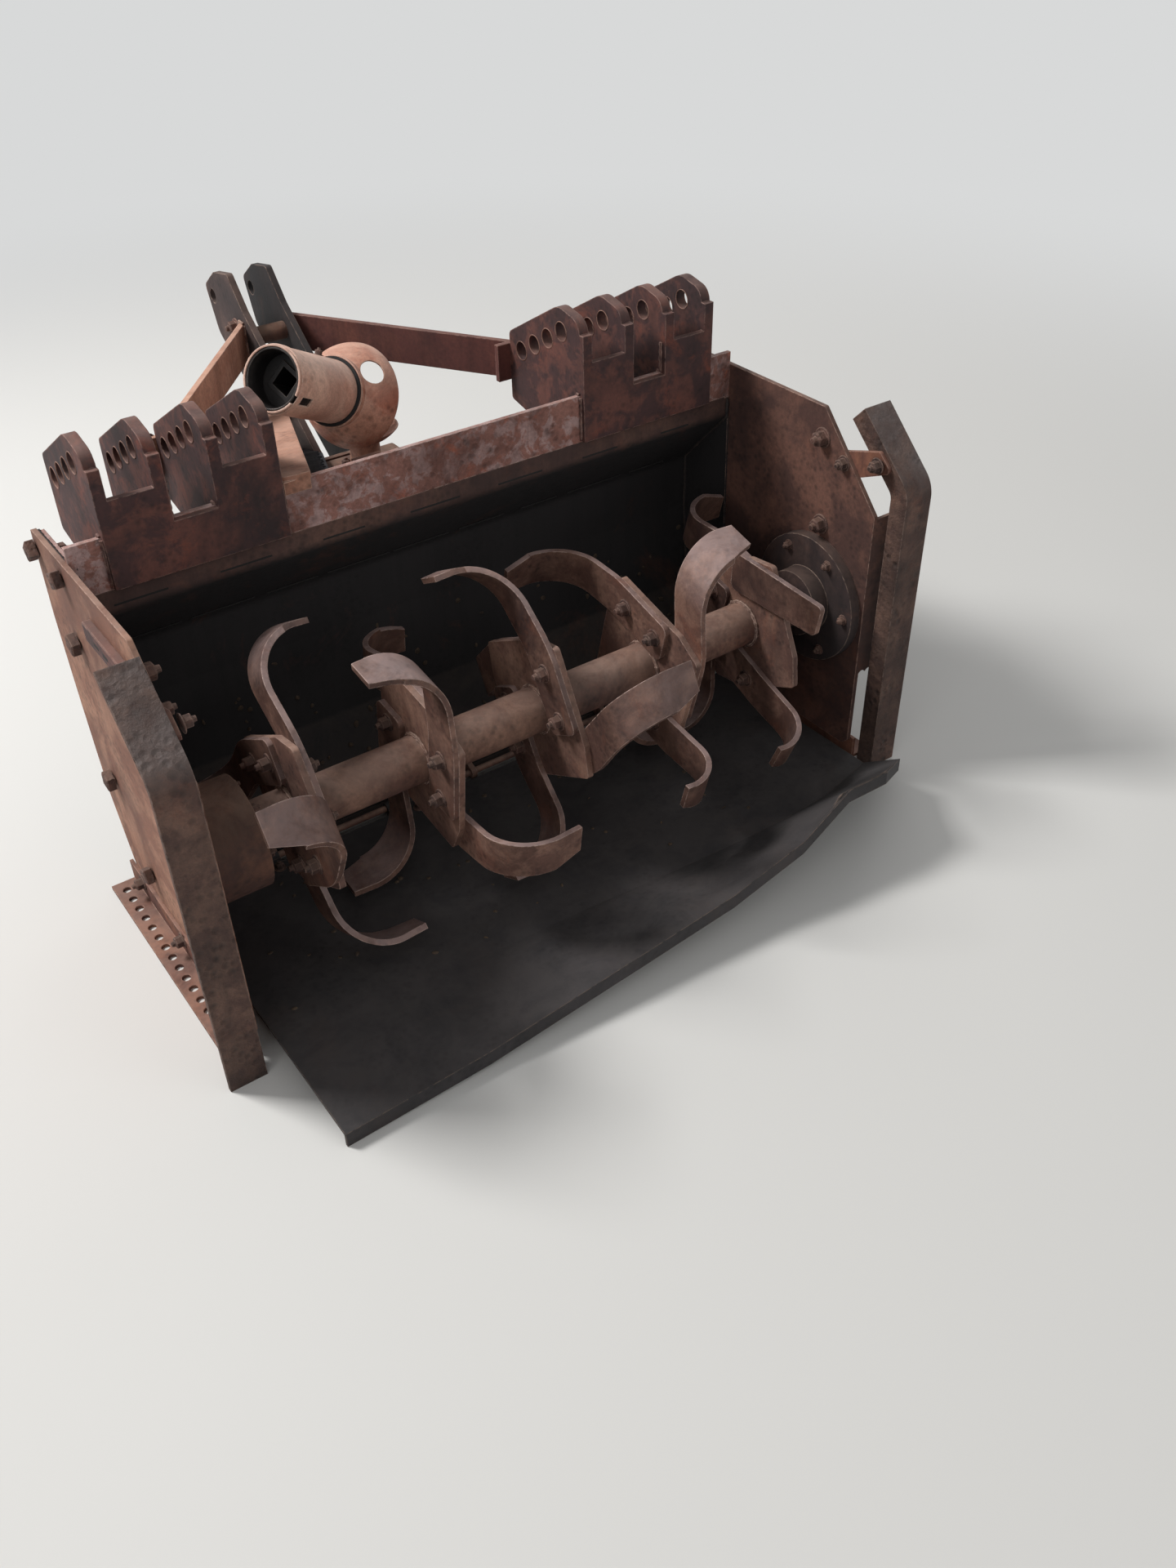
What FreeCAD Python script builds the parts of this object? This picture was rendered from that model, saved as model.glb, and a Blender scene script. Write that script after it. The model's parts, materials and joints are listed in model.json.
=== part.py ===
import FreeCAD, Part
import math
import os

# Rotary tiller, three point hitch type, stored tipped back on its rear.
# Working frame of this source, in mm: x = 0 at the machine's middle, +x to the machine's left,
# y = 0 at the end plates' hitch side corner, +y is the machine's up, +z the machine's forward.
# z = 0 is the end plates' front edge and z = -STAND_H is the ground it is parked on.
# Every piece is moved by (0, STAND_Y, STAND_H) when it is written.

V = FreeCAD.Vector

# overall
BODY_W = 1200.0         # over the outer faces of the two end plates
STAND_H = 640.0         # ground to the end plates' front edge, as parked
STAND_Y = 76.3          # brings the middle of the whole to y = 0
REAR_GAP = 28.0         # ground to the end plates' rear edge, as parked
END_PLATE_T = 8.0
PLATE_DEPTH = 511.0     # end plate, hood side to soil side
PLATE_BEVEL = 148.0     # height of the bevelled front corner
PLATE_BEVEL_Y = 136.0
EDGE_FLANGE_W = 48.0    # folded flange along an end plate's soil edge
EDGE_FLANGE_T = 6.0
RAGGED_END = 457.0      # where the right plate's flange has rusted away

# front beam
BEAM_NEAR = 135.0       # soil side face of the beam, below y = 0
BEAM_BOX = 80.0         # width of the angle's web and of its leg
BEAM_TOP = 22.0
BEAM_WALL = 8.0
END_PAD_T = 10.0        # bolting pads at the beam's ends
END_PAD_H = 60.0

# hitch brackets
BRACKET_T = 18.0
BRACKET_PITCH = 84.0
BRACKET_FIRST = 278.5   # middle of the plate nearest the machine's middle
BRACKET_PLATES = 4
BRACKET_REAR = 75.0
BRACKET_APEX_Y = 75.0
BRACKET_APEX_Z = 154.0
BRACKET_FACE_T = 10.0   # front plate that ties the upright plates
PIN_HOLE_R = 15.5
PIN_HOLE_PITCH = 46.0
PIN_HOLES = 4

# mast
MAST_T = 12.0
MAST_GAP = 63.0
MAST_MID = -17.0
MAST_TOP = 600.0
TOP_PIN_R = 12.8
TOP_PIN_Y = 566.0
TOP_PIN_Z = 72.0
BRACE_T = 10.0
BRACE_W = 64.0
STRUT_W = 43.0
STRUT_T = 10.0
STRUT_X = -247.0        # middle of the strut's foot
STAY_W = 46.0
STAY_X = -172.0         # middle of the stay's foot

# gearbox and drive
GEAR_W = 130.0
GEAR_MID = 7.0
GEAR_FRONT = -112.0     # machine front face of the housing
GEAR_LEN = 150.0
GEAR_BASE = 22.0
GEAR_TOP = 190.0
RAIL_TOP = 12.0         # top of the two rails under the gearbox
LUG_T = 12.0            # upright lug that each rail turns up behind the beam's leg
SHAFT_Y = 100.0         # input shaft height
CROSS_R = 38.0          # cross shaft housing
CROSS_Y = 88.0
CROSS_Z = -187.0
CASE_T = 48.0           # side drive case, plate to outer cover
CASE_R_TOP = 78.0
CASE_R_LOW = 118.0

# driveline guard
BALL_Z = 16.0
BALL_R = 86.0
BALL_AHEAD = 10.0       # ball's middle, along the tube from the joint's middle
BALL_RIM = 8.0          # rim of the bell, short of the ball's middle
CUP_HALF = 50.0         # degrees that the fixed cup reaches round from its stem
GUARD_WALL = 3.0
GUARD_GAP = 5.0
GUARD_TUBE_R = 50.0
GUARD_LEN = 252.0       # ball centre to the tube's mouth
GUARD_LEAN = 63.0       # degrees from the input shaft
GUARD_SWING = 210.9     # compass direction of the lean, degrees from +x
SHAFT_SQ = 46.0         # square drive tube inside the guard
SHAFT_BORE = 32.0
EYE_R = 18.0            # eye and fork of the universal joint
EYE_HALF = 10.0
FORK_GAP = 5.0
FORK_T = 11.0
PIN_R = 8.0
SERVICE_HOLE_R = 20.0
SERVICE_AT = V(0.756, -0.306, 0.579)   # where the bell's service hole looks, bell drawn upright

# rotor
ROTOR_Y = -387.0
ROTOR_Z = -347.0
ROTOR_TUBE_R = 38.0
STUB_R = 22.0
RUNNING_GAP = 0.05
STATION_PITCH = 0.18 * BODY_W
FLANGE_T = 10.0
FLANGE_HALF = 115.0     # half the side of a square blade flange
FLANGE_CORNER = 18.0
BLADE_T = 9.0
BLADE_W = 72.0
BLADE_ROOT = 40.0       # how far a shank runs back past the flange's middle
BLADE_TIP_R = 260.0
BLADE_BEND_R = 84.0
WORN_ALONG = 47.0       # leading corner of a tip, worn away
WORN_IN = 16.0
DRUM_R = 86.0
DRUM_LEN = 86.0
HUB_R = 60.0
HUB_LEN = 32.0
HUB_DISC_R = 118.0
HUB_DISC_T = 20.0

# skids
SKID_GAP = 7.0
SKID_W = 57.0
SKID_T = 8.0
SKID_FLANGE = 35.0
SKID_TOP_Y = -449.0
SKID_TOP_Z = 17.0
SKID_BEND_Y = -562.0
SKID_BEND_Z = -89.0
DEPTH_BAR_W = 46.0
DEPTH_BAR_T = 6.0
DEPTH_BAR_FAR = -40.0
DEPTH_HOLE_R = 7.0
DEPTH_HOLES = 16
DEPTH_PITCH = 28.0

# hood and flap
HOOD_T = 5.0
HOOD_FLANGE = 112.0
HINGE_Y = -146.0
HINGE_Z = -624.0
HINGE_ROD_R = 6.0
KNUCKLE_R = 11.0
KNUCKLE_LEN = 60.0
FLAP_T = 5.0
FLAP_LIP = 26.0

HALF = BODY_W / 2.0
INNER = HALF - END_PLATE_T


def xyz(x, y, z):
    """Point of the working frame."""
    return V(x, y, z)


def rounded_wire(points, radii):
    """Closed wire in a plane through the points, each corner rounded by its radius."""
    edges = []
    count = len(points)
    starts = []
    ends = []
    mids = []
    for i in range(count):
        here = points[i]
        back = points[i - 1] - here
        ahead = points[(i + 1) % count] - here
        radius = radii[i]
        if radius <= 0.01:
            starts.append(here)
            ends.append(here)
            mids.append(None)
            continue
        back_len = back.Length
        ahead_len = ahead.Length
        back.normalize()
        ahead.normalize()
        angle = math.acos(max(-1.0, min(1.0, back.dot(ahead))))
        reach = radius / math.tan(angle / 2.0)
        reach = min(reach, 0.49 * back_len, 0.49 * ahead_len)
        radius = reach * math.tan(angle / 2.0)
        middle = back + ahead
        middle.normalize()
        centre = here + middle * (radius / math.sin(angle / 2.0))
        starts.append(here + back * reach)
        ends.append(here + ahead * reach)
        mids.append(centre - middle * radius)
    for i in range(count):
        if mids[i] is not None:
            edges.append(Part.Arc(starts[i], mids[i], ends[i]).toShape())
        after = starts[(i + 1) % count]
        if (after - ends[i]).Length > 1e-6:
            edges.append(Part.makeLine(ends[i], after))
    return Part.Wire(edges)


def plate_x(outline, x_low, x_high, radii=None):
    """Flat plate square to x from an outline of (y, z) points."""
    points = [V(x_low, y, z) for y, z in outline]
    if radii is None:
        radii = [0.0] * len(points)
    face = Part.Face(rounded_wire(points, radii))
    return face.extrude(V(x_high - x_low, 0, 0))


def block(x_low, x_high, y_low, y_high, z_low, z_high):
    """Box between two corners."""
    return Part.makeBox(x_high - x_low, y_high - y_low, z_high - z_low, V(x_low, y_low, z_low))


def round_x(y, z, radius, x_low, x_high):
    """Cylinder along x."""
    return Part.makeCylinder(radius, x_high - x_low, V(x_low, y, z), V(1, 0, 0))


def strip_outline(path, thick, bend):
    """Outline of a bent strip: path gives one face, thick goes to its left, bend is that face's radius."""
    left = []
    count = len(path)
    turns = []
    for i in range(count):
        if i > 0:
            din = (path[i][0] - path[i - 1][0], path[i][1] - path[i - 1][1])
            size = math.hypot(*din)
            din = (din[0] / size, din[1] / size)
        if i < count - 1:
            dout = (path[i + 1][0] - path[i][0], path[i + 1][1] - path[i][1])
            size = math.hypot(*dout)
            dout = (dout[0] / size, dout[1] / size)
        if i == 0:
            din = dout
        if i == count - 1:
            dout = din
        normal_in = (-din[1], din[0])
        normal_out = (-dout[1], dout[0])
        mean = (normal_in[0] + normal_out[0], normal_in[1] + normal_out[1])
        scale = thick / (1.0 + normal_in[0] * normal_out[0] + normal_in[1] * normal_out[1])
        left.append((path[i][0] + mean[0] * scale, path[i][1] + mean[1] * scale))
        turns.append(din[0] * dout[1] - din[1] * dout[0])
    points = list(path) + left[::-1]
    radii_path = []
    radii_left = []
    for i in range(count):
        if i in (0, count - 1) or abs(turns[i]) < 1e-6:
            radii_path.append(0.0)
            radii_left.append(0.0)
        elif turns[i] > 0:
            radii_path.append(bend + thick)
            radii_left.append(bend)
        else:
            radii_path.append(bend)
            radii_left.append(bend + thick)
    return points, radii_path + radii_left[::-1]


def bent_strip(path, thick, bend, x_low, x_high):
    """Bent flat strip of the given width along x."""
    points, radii = strip_outline(path, thick, bend)
    return plate_x(points, x_low, x_high, radii)


def bar_between(start, end, across, width, thick):
    """Straight flat bar: width lies along across, thickness square to both."""
    along = end - start
    length = along.Length
    along.normalize()
    side = across - along * across.dot(along)
    side.normalize()
    normal = along.cross(side)
    corners = []
    for a, b in ((-0.5, -0.5), (0.5, -0.5), (0.5, 0.5), (-0.5, 0.5)):
        corners.append(start + side * (width * a) + normal * (thick * b))
    face = Part.Face(Part.makePolygon(corners + [corners[0]]))
    return face.extrude(along * length)


def mirror_x(shape):
    """The same piece on the other side of the machine."""
    return shape.mirror(V(0, 0, 0), V(1, 0, 0))


def fuse_all(shapes):
    """One solid from pieces welded together."""
    whole = shapes[0]
    if len(shapes) > 1:
        whole = whole.fuse(shapes[1:])
    return whole.removeSplitter()


def save(name, shape):
    """Write one piece in the parked frame."""
    moved = shape.copy()
    moved.translate(V(0, STAND_Y, STAND_H))
    moved.exportStep("parts/" + name + ".step")


# end plates

plate_rear = STAND_H - REAR_GAP


def end_plate(ragged):
    """Right hand end plate with its folded soil edge flange."""
    outline = [
        (0.0, 0.0),
        (-PLATE_DEPTH + PLATE_BEVEL_Y, 0.0),
        (-PLATE_DEPTH, -PLATE_BEVEL),
        (-PLATE_DEPTH, -plate_rear + 12.0),
        (-PLATE_DEPTH + 14.0, -plate_rear),
        (-127.0, -plate_rear),
        (-58.0, -plate_rear + 6.0),
        (-12.0, -472.0),
        (3.0, -302.0),
        (10.0, -146.0),
    ]
    radii = [4.0, 6.0, 6.0, 4.0, 4.0, 8.0, 30.0, 60.0, 0.0, 60.0]
    plate = plate_x(outline, INNER, HALF, radii)
    low = -RAGGED_END if ragged else -plate_rear + 22.0
    flange = block(HALF - 1.0, HALF + EDGE_FLANGE_W, -PLATE_DEPTH, -PLATE_DEPTH + EDGE_FLANGE_T,
                   low, -PLATE_BEVEL - 4.0)
    if ragged:
        bites = [
            (HALF + 8.0, low - 4.0, 9.0),
            (HALF + 24.0, low - 3.0, 8.0),
            (HALF + 44.0, low - 2.0, 12.0),
        ]
        for bx, bz, br in bites:
            bite = Part.makeCylinder(br, 20.0, V(bx, -PLATE_DEPTH - 7.0, bz), V(0, 1, 0))
            flange = flange.cut(bite)
    return fuse_all([plate, flange])


end_plate_left_side = end_plate(True)
end_plate_right_side = mirror_x(end_plate(False))

# front beam: an angle, web on the soil side and leg at the rear, with bolting pads at its ends

beam_lo = -BEAM_NEAR
beam_hi = -BEAM_NEAR + BEAM_BOX
beam_bottom = BEAM_TOP - BEAM_BOX
beam_web = block(-INNER, INNER, beam_lo, beam_lo + BEAM_WALL, beam_bottom, BEAM_TOP)
beam_leg = block(-INNER, INNER, beam_lo, beam_hi, beam_bottom, beam_bottom + BEAM_WALL)
beam_parts = [beam_web, beam_leg]
for side in (-1, 1):
    x_in = side * (INNER - END_PAD_T)
    x_out = side * INNER
    beam_parts.append(block(min(x_in, x_out), max(x_in, x_out), beam_lo, -4.0, -END_PAD_H, -4.0))
front_beam = fuse_all(beam_parts)

# hitch brackets: four upright plates and a front plate that steps down between them


def bracket_side():
    """Hitch bracket on the +x side."""
    near = -BEAM_NEAR
    profile = [
        (near, BEAM_TOP),
        (near, 141.0),
        (-BRACKET_APEX_Y, BRACKET_APEX_Z),
        (BRACKET_REAR, 71.0),
        (BRACKET_REAR, -48.0),
        (30.0, beam_bottom),
        (beam_hi, beam_bottom),
        (beam_hi, beam_bottom + BEAM_WALL),
        (near + BEAM_WALL, beam_bottom + BEAM_WALL),
        (near + BEAM_WALL, BEAM_TOP),
    ]
    radii = [0.0, 26.0, 34.0, 14.0, 6.0, 10.0, 0.0, 0.0, 0.0, 0.0]
    slope = math.atan2(BRACKET_APEX_Z - 71.0, -BRACKET_APEX_Y - BRACKET_REAR)
    step_y = math.cos(slope) * PIN_HOLE_PITCH
    step_z = math.sin(slope) * PIN_HOLE_PITCH
    pieces = []
    for i in range(BRACKET_PLATES):
        mid = BRACKET_FIRST + i * BRACKET_PITCH
        plate = plate_x(profile, mid - BRACKET_T / 2.0, mid + BRACKET_T / 2.0, radii)
        for k in range(PIN_HOLES):
            hole = round_x(38.0 + k * step_y, 47.0 + k * step_z, PIN_HOLE_R, mid - 40.0, mid + 40.0)
            plate = plate.cut(hole)
        pieces.append(plate)
    low = beam_bottom + 2.0
    tops = (77.0, 20.0, 76.0)
    first = BRACKET_FIRST - BRACKET_T / 2.0
    last = BRACKET_FIRST + (BRACKET_PLATES - 1) * BRACKET_PITCH + BRACKET_T / 2.0
    face = block(first, last, near - BRACKET_FACE_T, near, low, 20.0)
    pieces.append(face)
    for i in range(BRACKET_PLATES - 1):
        x_low = BRACKET_FIRST + i * BRACKET_PITCH - BRACKET_T / 2.0
        x_high = x_low + BRACKET_PITCH + BRACKET_T
        pieces.append(block(x_low, x_high, near - BRACKET_FACE_T, near, 0.0, tops[i] + 0.0))
    for i in range(BRACKET_PLATES):
        mid = BRACKET_FIRST + i * BRACKET_PITCH
        rib = block(mid - BRACKET_T / 2.0, mid + BRACKET_T / 2.0, near - BRACKET_FACE_T, near + 6.0, 19.0, 122.0)
        pieces.append(rib)
    return fuse_all(pieces).cut(front_beam)


hitch_left_side = bracket_side()
hitch_right_side = mirror_x(hitch_left_side)

# gearbox, its saddle on the hood and the two lugs that tie it to the beam

gear_lo = GEAR_MID - GEAR_W / 2.0
gear_hi = GEAR_MID + GEAR_W / 2.0
gear_rear = GEAR_FRONT - GEAR_LEN
gear_profile = [
    (GEAR_BASE, GEAR_FRONT),
    (GEAR_TOP, GEAR_FRONT),
    (GEAR_TOP, gear_rear),
    (GEAR_BASE, gear_rear),
]
gearbox = plate_x(gear_profile, gear_lo, gear_hi, [18.0, 26.0, 26.0, 18.0])
rear_cap = Part.makeCylinder(52.0, 16.0, V(MAST_MID + 1.0, SHAFT_Y, gear_rear - 12.0), V(0, 0, 1))
gearbox = fuse_all([gearbox, rear_cap])

hood_top_y = -20.0 + HOOD_T / 2.0
rail_rear = gear_rear - 40.0
rail_spans = [
    (-110.0, -60.0, -15.0),
    (58.0, 108.0, -34.0),
]
rail_shapes = []
for x_low, x_high, z_high in rail_spans:
    front_lug = block(x_low, x_high, beam_hi, beam_hi + LUG_T, beam_bottom, z_high)
    rail = block(x_low, x_high, hood_top_y, RAIL_TOP, rail_rear, beam_bottom + 6.0)
    foot = block(x_low, x_high, beam_hi, hood_top_y + 1.0, beam_bottom, beam_bottom + 6.0)
    rail_shapes.append(fuse_all([front_lug, foot, rail]))
gearbox_rails = Part.makeCompound(rail_shapes)
gearbox_saddle = block(rail_spans[0][0], rail_spans[1][1], RAIL_TOP, GEAR_BASE, gear_rear - 14.0, GEAR_FRONT)

# mast: two shaped plates from the gearbox's top to the top link pin

mast_foot_y = GEAR_TOP
mast_profile = [
    (MAST_TOP - 4.0, 86.0),
    (MAST_TOP - 55.0, 120.0),
    (MAST_TOP - 117.0, 131.0),
    (437.0, 76.0),
    (mast_foot_y, -124.0),
    (mast_foot_y, -232.0),
    (258.0, -222.0),
    (566.0, 6.0),
]
mast_radii = [12.0, 10.0, 10.0, 40.0, 0.0, 0.0, 20.0, 30.0]
mast_in = MAST_GAP / 2.0


def mast_plate(x_low):
    """One mast plate with its pin hole."""
    plate = plate_x(mast_profile, x_low, x_low + MAST_T, mast_radii)
    hole = round_x(TOP_PIN_Y, TOP_PIN_Z, TOP_PIN_R, x_low - 5.0, x_low + MAST_T + 5.0)
    return plate.cut(hole)


mast_right_x = MAST_MID - mast_in - MAST_T
mast_left_x = MAST_MID + mast_in
mast_plate_right = mast_plate(mast_right_x)
mast_plate_left = mast_plate(mast_left_x)
mast_foot = block(mast_right_x - 10.0, mast_left_x + MAST_T + 10.0, GEAR_TOP, GEAR_TOP + 10.0, -244.0, -118.0)
mast_foot = mast_foot.cut(mast_plate_right)
mast_foot = mast_foot.cut(mast_plate_left)
spacer_tube = round_x(440.0, 28.0, 16.0, mast_right_x + MAST_T, mast_left_x)
mast_foot = Part.makeCompound([mast_foot.Solids[0], spacer_tube] if len(mast_foot.Solids) == 1
                              else mast_foot.Solids + [spacer_tube])

# braces from the mast to the hitch brackets

brace_mid_z = 22.0
brace_start = xyz(mast_left_x + MAST_T, 452.0, brace_mid_z)
brace_end = xyz(BRACKET_FIRST, BRACKET_REAR + 5.0, brace_mid_z - 4.0)
foot_left = block(BRACKET_FIRST - 34.0, BRACKET_FIRST + 34.0, BRACKET_REAR, BRACKET_REAR + BRACE_T,
                  brace_mid_z - 4.0 - BRACE_W / 2.0, brace_mid_z - 4.0 + BRACE_W / 2.0)
brace_left = bar_between(brace_start + V(-30, 44.8, 0), brace_end, V(0, 0, 1), BRACE_W, BRACE_T)
keep = block(mast_left_x + MAST_T, 2000.0, BRACKET_REAR, 2000.0, -500.0, 500.0)
brace_left = fuse_all([brace_left.common(keep), foot_left])

far_plate = BRACKET_FIRST + BRACKET_PITCH
right_start = xyz(mast_right_x, 448.0, brace_mid_z)
right_end = xyz(-far_plate, BRACKET_REAR + 5.0, brace_mid_z - 4.0)
foot_right = block(-far_plate - 34.0, -far_plate + 34.0, BRACKET_REAR, BRACKET_REAR + BRACE_T,
                   brace_mid_z - 4.0 - BRACE_W / 2.0, brace_mid_z - 4.0 + BRACE_W / 2.0)
brace_right = bar_between(right_start + V(30, 37.0, 0), right_end, V(0, 0, 1), BRACE_W, BRACE_T)
keep = block(-2000.0, mast_right_x, BRACKET_REAR, 2000.0, -500.0, 500.0)
brace_right = fuse_all([brace_right.common(keep), foot_right])

# strut from the beam's front face back to the mast, on its right

strut_run = xyz(mast_right_x - STRUT_X, 507.0, -119.0)
strut_low = xyz(STRUT_X, beam_lo - 10.0, BEAM_TOP + 8.4)
strut_top = strut_low + strut_run * 1.1
strut_bar = bar_between(strut_low, strut_top, V(1, 0, 0), STRUT_W, STRUT_T)
strut_room = block(-1000.0, mast_right_x, beam_lo - STRUT_T, 1000.0, -500.0, 500.0)
strut_foot = block(STRUT_X - STRUT_W / 2.0, STRUT_X + STRUT_W / 2.0, beam_lo - STRUT_T, beam_lo,
                   8.0, BEAM_TOP + 6.0)
strut_bar = strut_bar.common(strut_room)
mast_strut = fuse_all([strut_bar, strut_foot]).cut(front_beam)
mast_strut = max(mast_strut.Solids, key=lambda s: s.Volume)

# shorter stay beside the strut, from the beam's leg to the mast plate's foot

stay_low = xyz(STAY_X, beam_hi + 6.0, beam_bottom + BEAM_WALL + 5.0)
stay_high = xyz(-40.0, 292.0, -132.0)
stay_bar = bar_between(stay_low, stay_high, V(1, 0, 0), STAY_W, STRUT_T)
stay_foot = block(STAY_X - STAY_W / 2.0, STAY_X + STAY_W / 2.0, beam_lo + BEAM_WALL + 2.0, beam_hi + 8.0,
                  beam_bottom + BEAM_WALL, beam_bottom + BEAM_WALL + 10.0)
stay_room = block(-1000.0, mast_right_x, -1000.0, 1000.0, -500.0, 500.0)
mast_stay = fuse_all([stay_bar.common(stay_room), stay_foot]).cut(front_beam)
mast_stay = max(mast_stay.Solids, key=lambda s: s.Volume)

# cross shaft housing and side drive case

cross_tube = round_x(CROSS_Y, CROSS_Z, CROSS_R, gear_hi, HALF)


def case_outline():
    """Side drive case: a flat oval between the cross shaft and the rotor."""
    dy = ROTOR_Y - CROSS_Y
    dz = ROTOR_Z - CROSS_Z
    span = math.hypot(dy, dz)
    base = math.atan2(dz, dy)
    lean = math.acos((CASE_R_TOP - CASE_R_LOW) / span)
    tops = []
    lows = []
    for sign in (1, -1):
        a = base + sign * lean
        tops.append(V(HALF, CROSS_Y + CASE_R_TOP * math.cos(a), CROSS_Z + CASE_R_TOP * math.sin(a)))
        lows.append(V(HALF, ROTOR_Y + CASE_R_LOW * math.cos(a), ROTOR_Z + CASE_R_LOW * math.sin(a)))
    top_mid = V(HALF, CROSS_Y - CASE_R_TOP * math.cos(base), CROSS_Z - CASE_R_TOP * math.sin(base))
    low_mid = V(HALF, ROTOR_Y + CASE_R_LOW * math.cos(base), ROTOR_Z + CASE_R_LOW * math.sin(base))
    edges = [
        Part.Arc(tops[1], top_mid, tops[0]).toShape(),
        Part.makeLine(tops[0], lows[0]),
        Part.Arc(lows[0], low_mid, lows[1]).toShape(),
        Part.makeLine(lows[1], tops[1]),
    ]
    return Part.Face(Part.Wire(edges))


case_face = case_outline()
side_case = case_face.extrude(V(CASE_T, 0, 0))
case_boss = round_x(CROSS_Y, CROSS_Z, 40.0, HALF + CASE_T - 1.0, HALF + CASE_T + 8.0)
case_cap = round_x(ROTOR_Y, ROTOR_Z, 62.0, HALF + CASE_T - 1.0, HALF + CASE_T + 10.0)
side_case = fuse_all([side_case, case_boss, case_cap])
side_case = side_case.cut(end_plate_left_side)

# bearings

drum_in = INNER - DRUM_LEN
stub_deep = 54.0
bearing_drum = round_x(ROTOR_Y, ROTOR_Z, DRUM_R, -INNER, -drum_in)
bearing_drum = bearing_drum.cut(round_x(ROTOR_Y, ROTOR_Z, STUB_R + RUNNING_GAP, -drum_in - stub_deep, -drum_in + 1.0))
hub_in = INNER - HUB_DISC_T - HUB_LEN
bearing_hub = fuse_all([
    round_x(ROTOR_Y, ROTOR_Z, HUB_DISC_R, INNER - HUB_DISC_T, INNER),
    round_x(ROTOR_Y, ROTOR_Z, HUB_R, hub_in, INNER - HUB_DISC_T + 1.0),
])
bearing_hub = bearing_hub.cut(round_x(ROTOR_Y, ROTOR_Z, STUB_R + RUNNING_GAP, hub_in - 1.0, hub_in + 44.0))

# rotor

rotor_lo = -drum_in + 6.0
rotor_hi = hub_in - 6.0
rotor_tube = fuse_all([
    round_x(ROTOR_Y, ROTOR_Z, ROTOR_TUBE_R, rotor_lo, rotor_hi),
    round_x(ROTOR_Y, ROTOR_Z, STUB_R, rotor_lo - 52.0, rotor_lo + 1.0),
    round_x(ROTOR_Y, ROTOR_Z, STUB_R, rotor_hi - 1.0, rotor_hi + 44.0),
])

# Each blade lies along one side of its square flange, so its shank runs past the axis, and is swept back.
# node letter, station, angle from the soil side toward the front, hand along x, reach along x, sweep
BLADES = [
    ("a", -2, 120.0, 1, 112.0, 80.0),
    ("a", -2, 34.0, -1, 112.0, 80.0),
    ("a", -2, -62.0, 1, 125.0, 50.0),
    ("a", -2, 210.0, -1, 112.0, 50.0),
    ("b", -1, 82.0, -1, 110.0, 25.0),
    ("b", -1, -8.0, 1, 125.0, 25.0),
    ("b", -1, 172.0, 1, 105.0, 50.0),
    ("b", -1, 262.0, -1, 125.0, 40.0),
    ("c", 0, 118.0, -1, 112.0, 60.0),
    ("c", 0, 28.0, 1, 130.0, 70.0),
    ("c", 0, -62.0, -1, 125.0, 40.0),
    ("c", 0, 208.0, 1, 125.0, 40.0),
    ("d", 1, 75.0, 1, 115.0, 45.0),
    ("d", 1, -15.0, -1, 80.0, 12.0),
    ("d", 1, 165.0, -1, 130.0, 20.0),
    ("d", 1, 255.0, 1, 110.0, 40.0),
    ("e", 2, -22.0, -1, 80.0, 2.0),
    ("e", 2, 165.0, 1, 120.0, 30.0),
    ("e", 2, 255.0, -1, 84.0, 40.0),
]
# station, angle of the square flange
FLANGES = [
    (-2, 120.0),
    (-1, 82.0),
    (0, 118.0),
    (1, 75.0),
    (2, 25.0),
]
# a worn out blade on the last flange, turned about its bolt: angle, how far off the axis, from, to
SPENT_BLADE = (-3.0, 96.0, -30.0, 186.0)


def spin(shape, angle, x):
    """Turn a piece drawn pointing to +z to its angle and put it at its station."""
    shape = shape.copy()
    shape.rotate(V(0, 0, 0), V(1, 0, 0), 90.0 - angle)
    shape.translate(V(x, ROTOR_Y, ROTOR_Z))
    return shape


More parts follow.
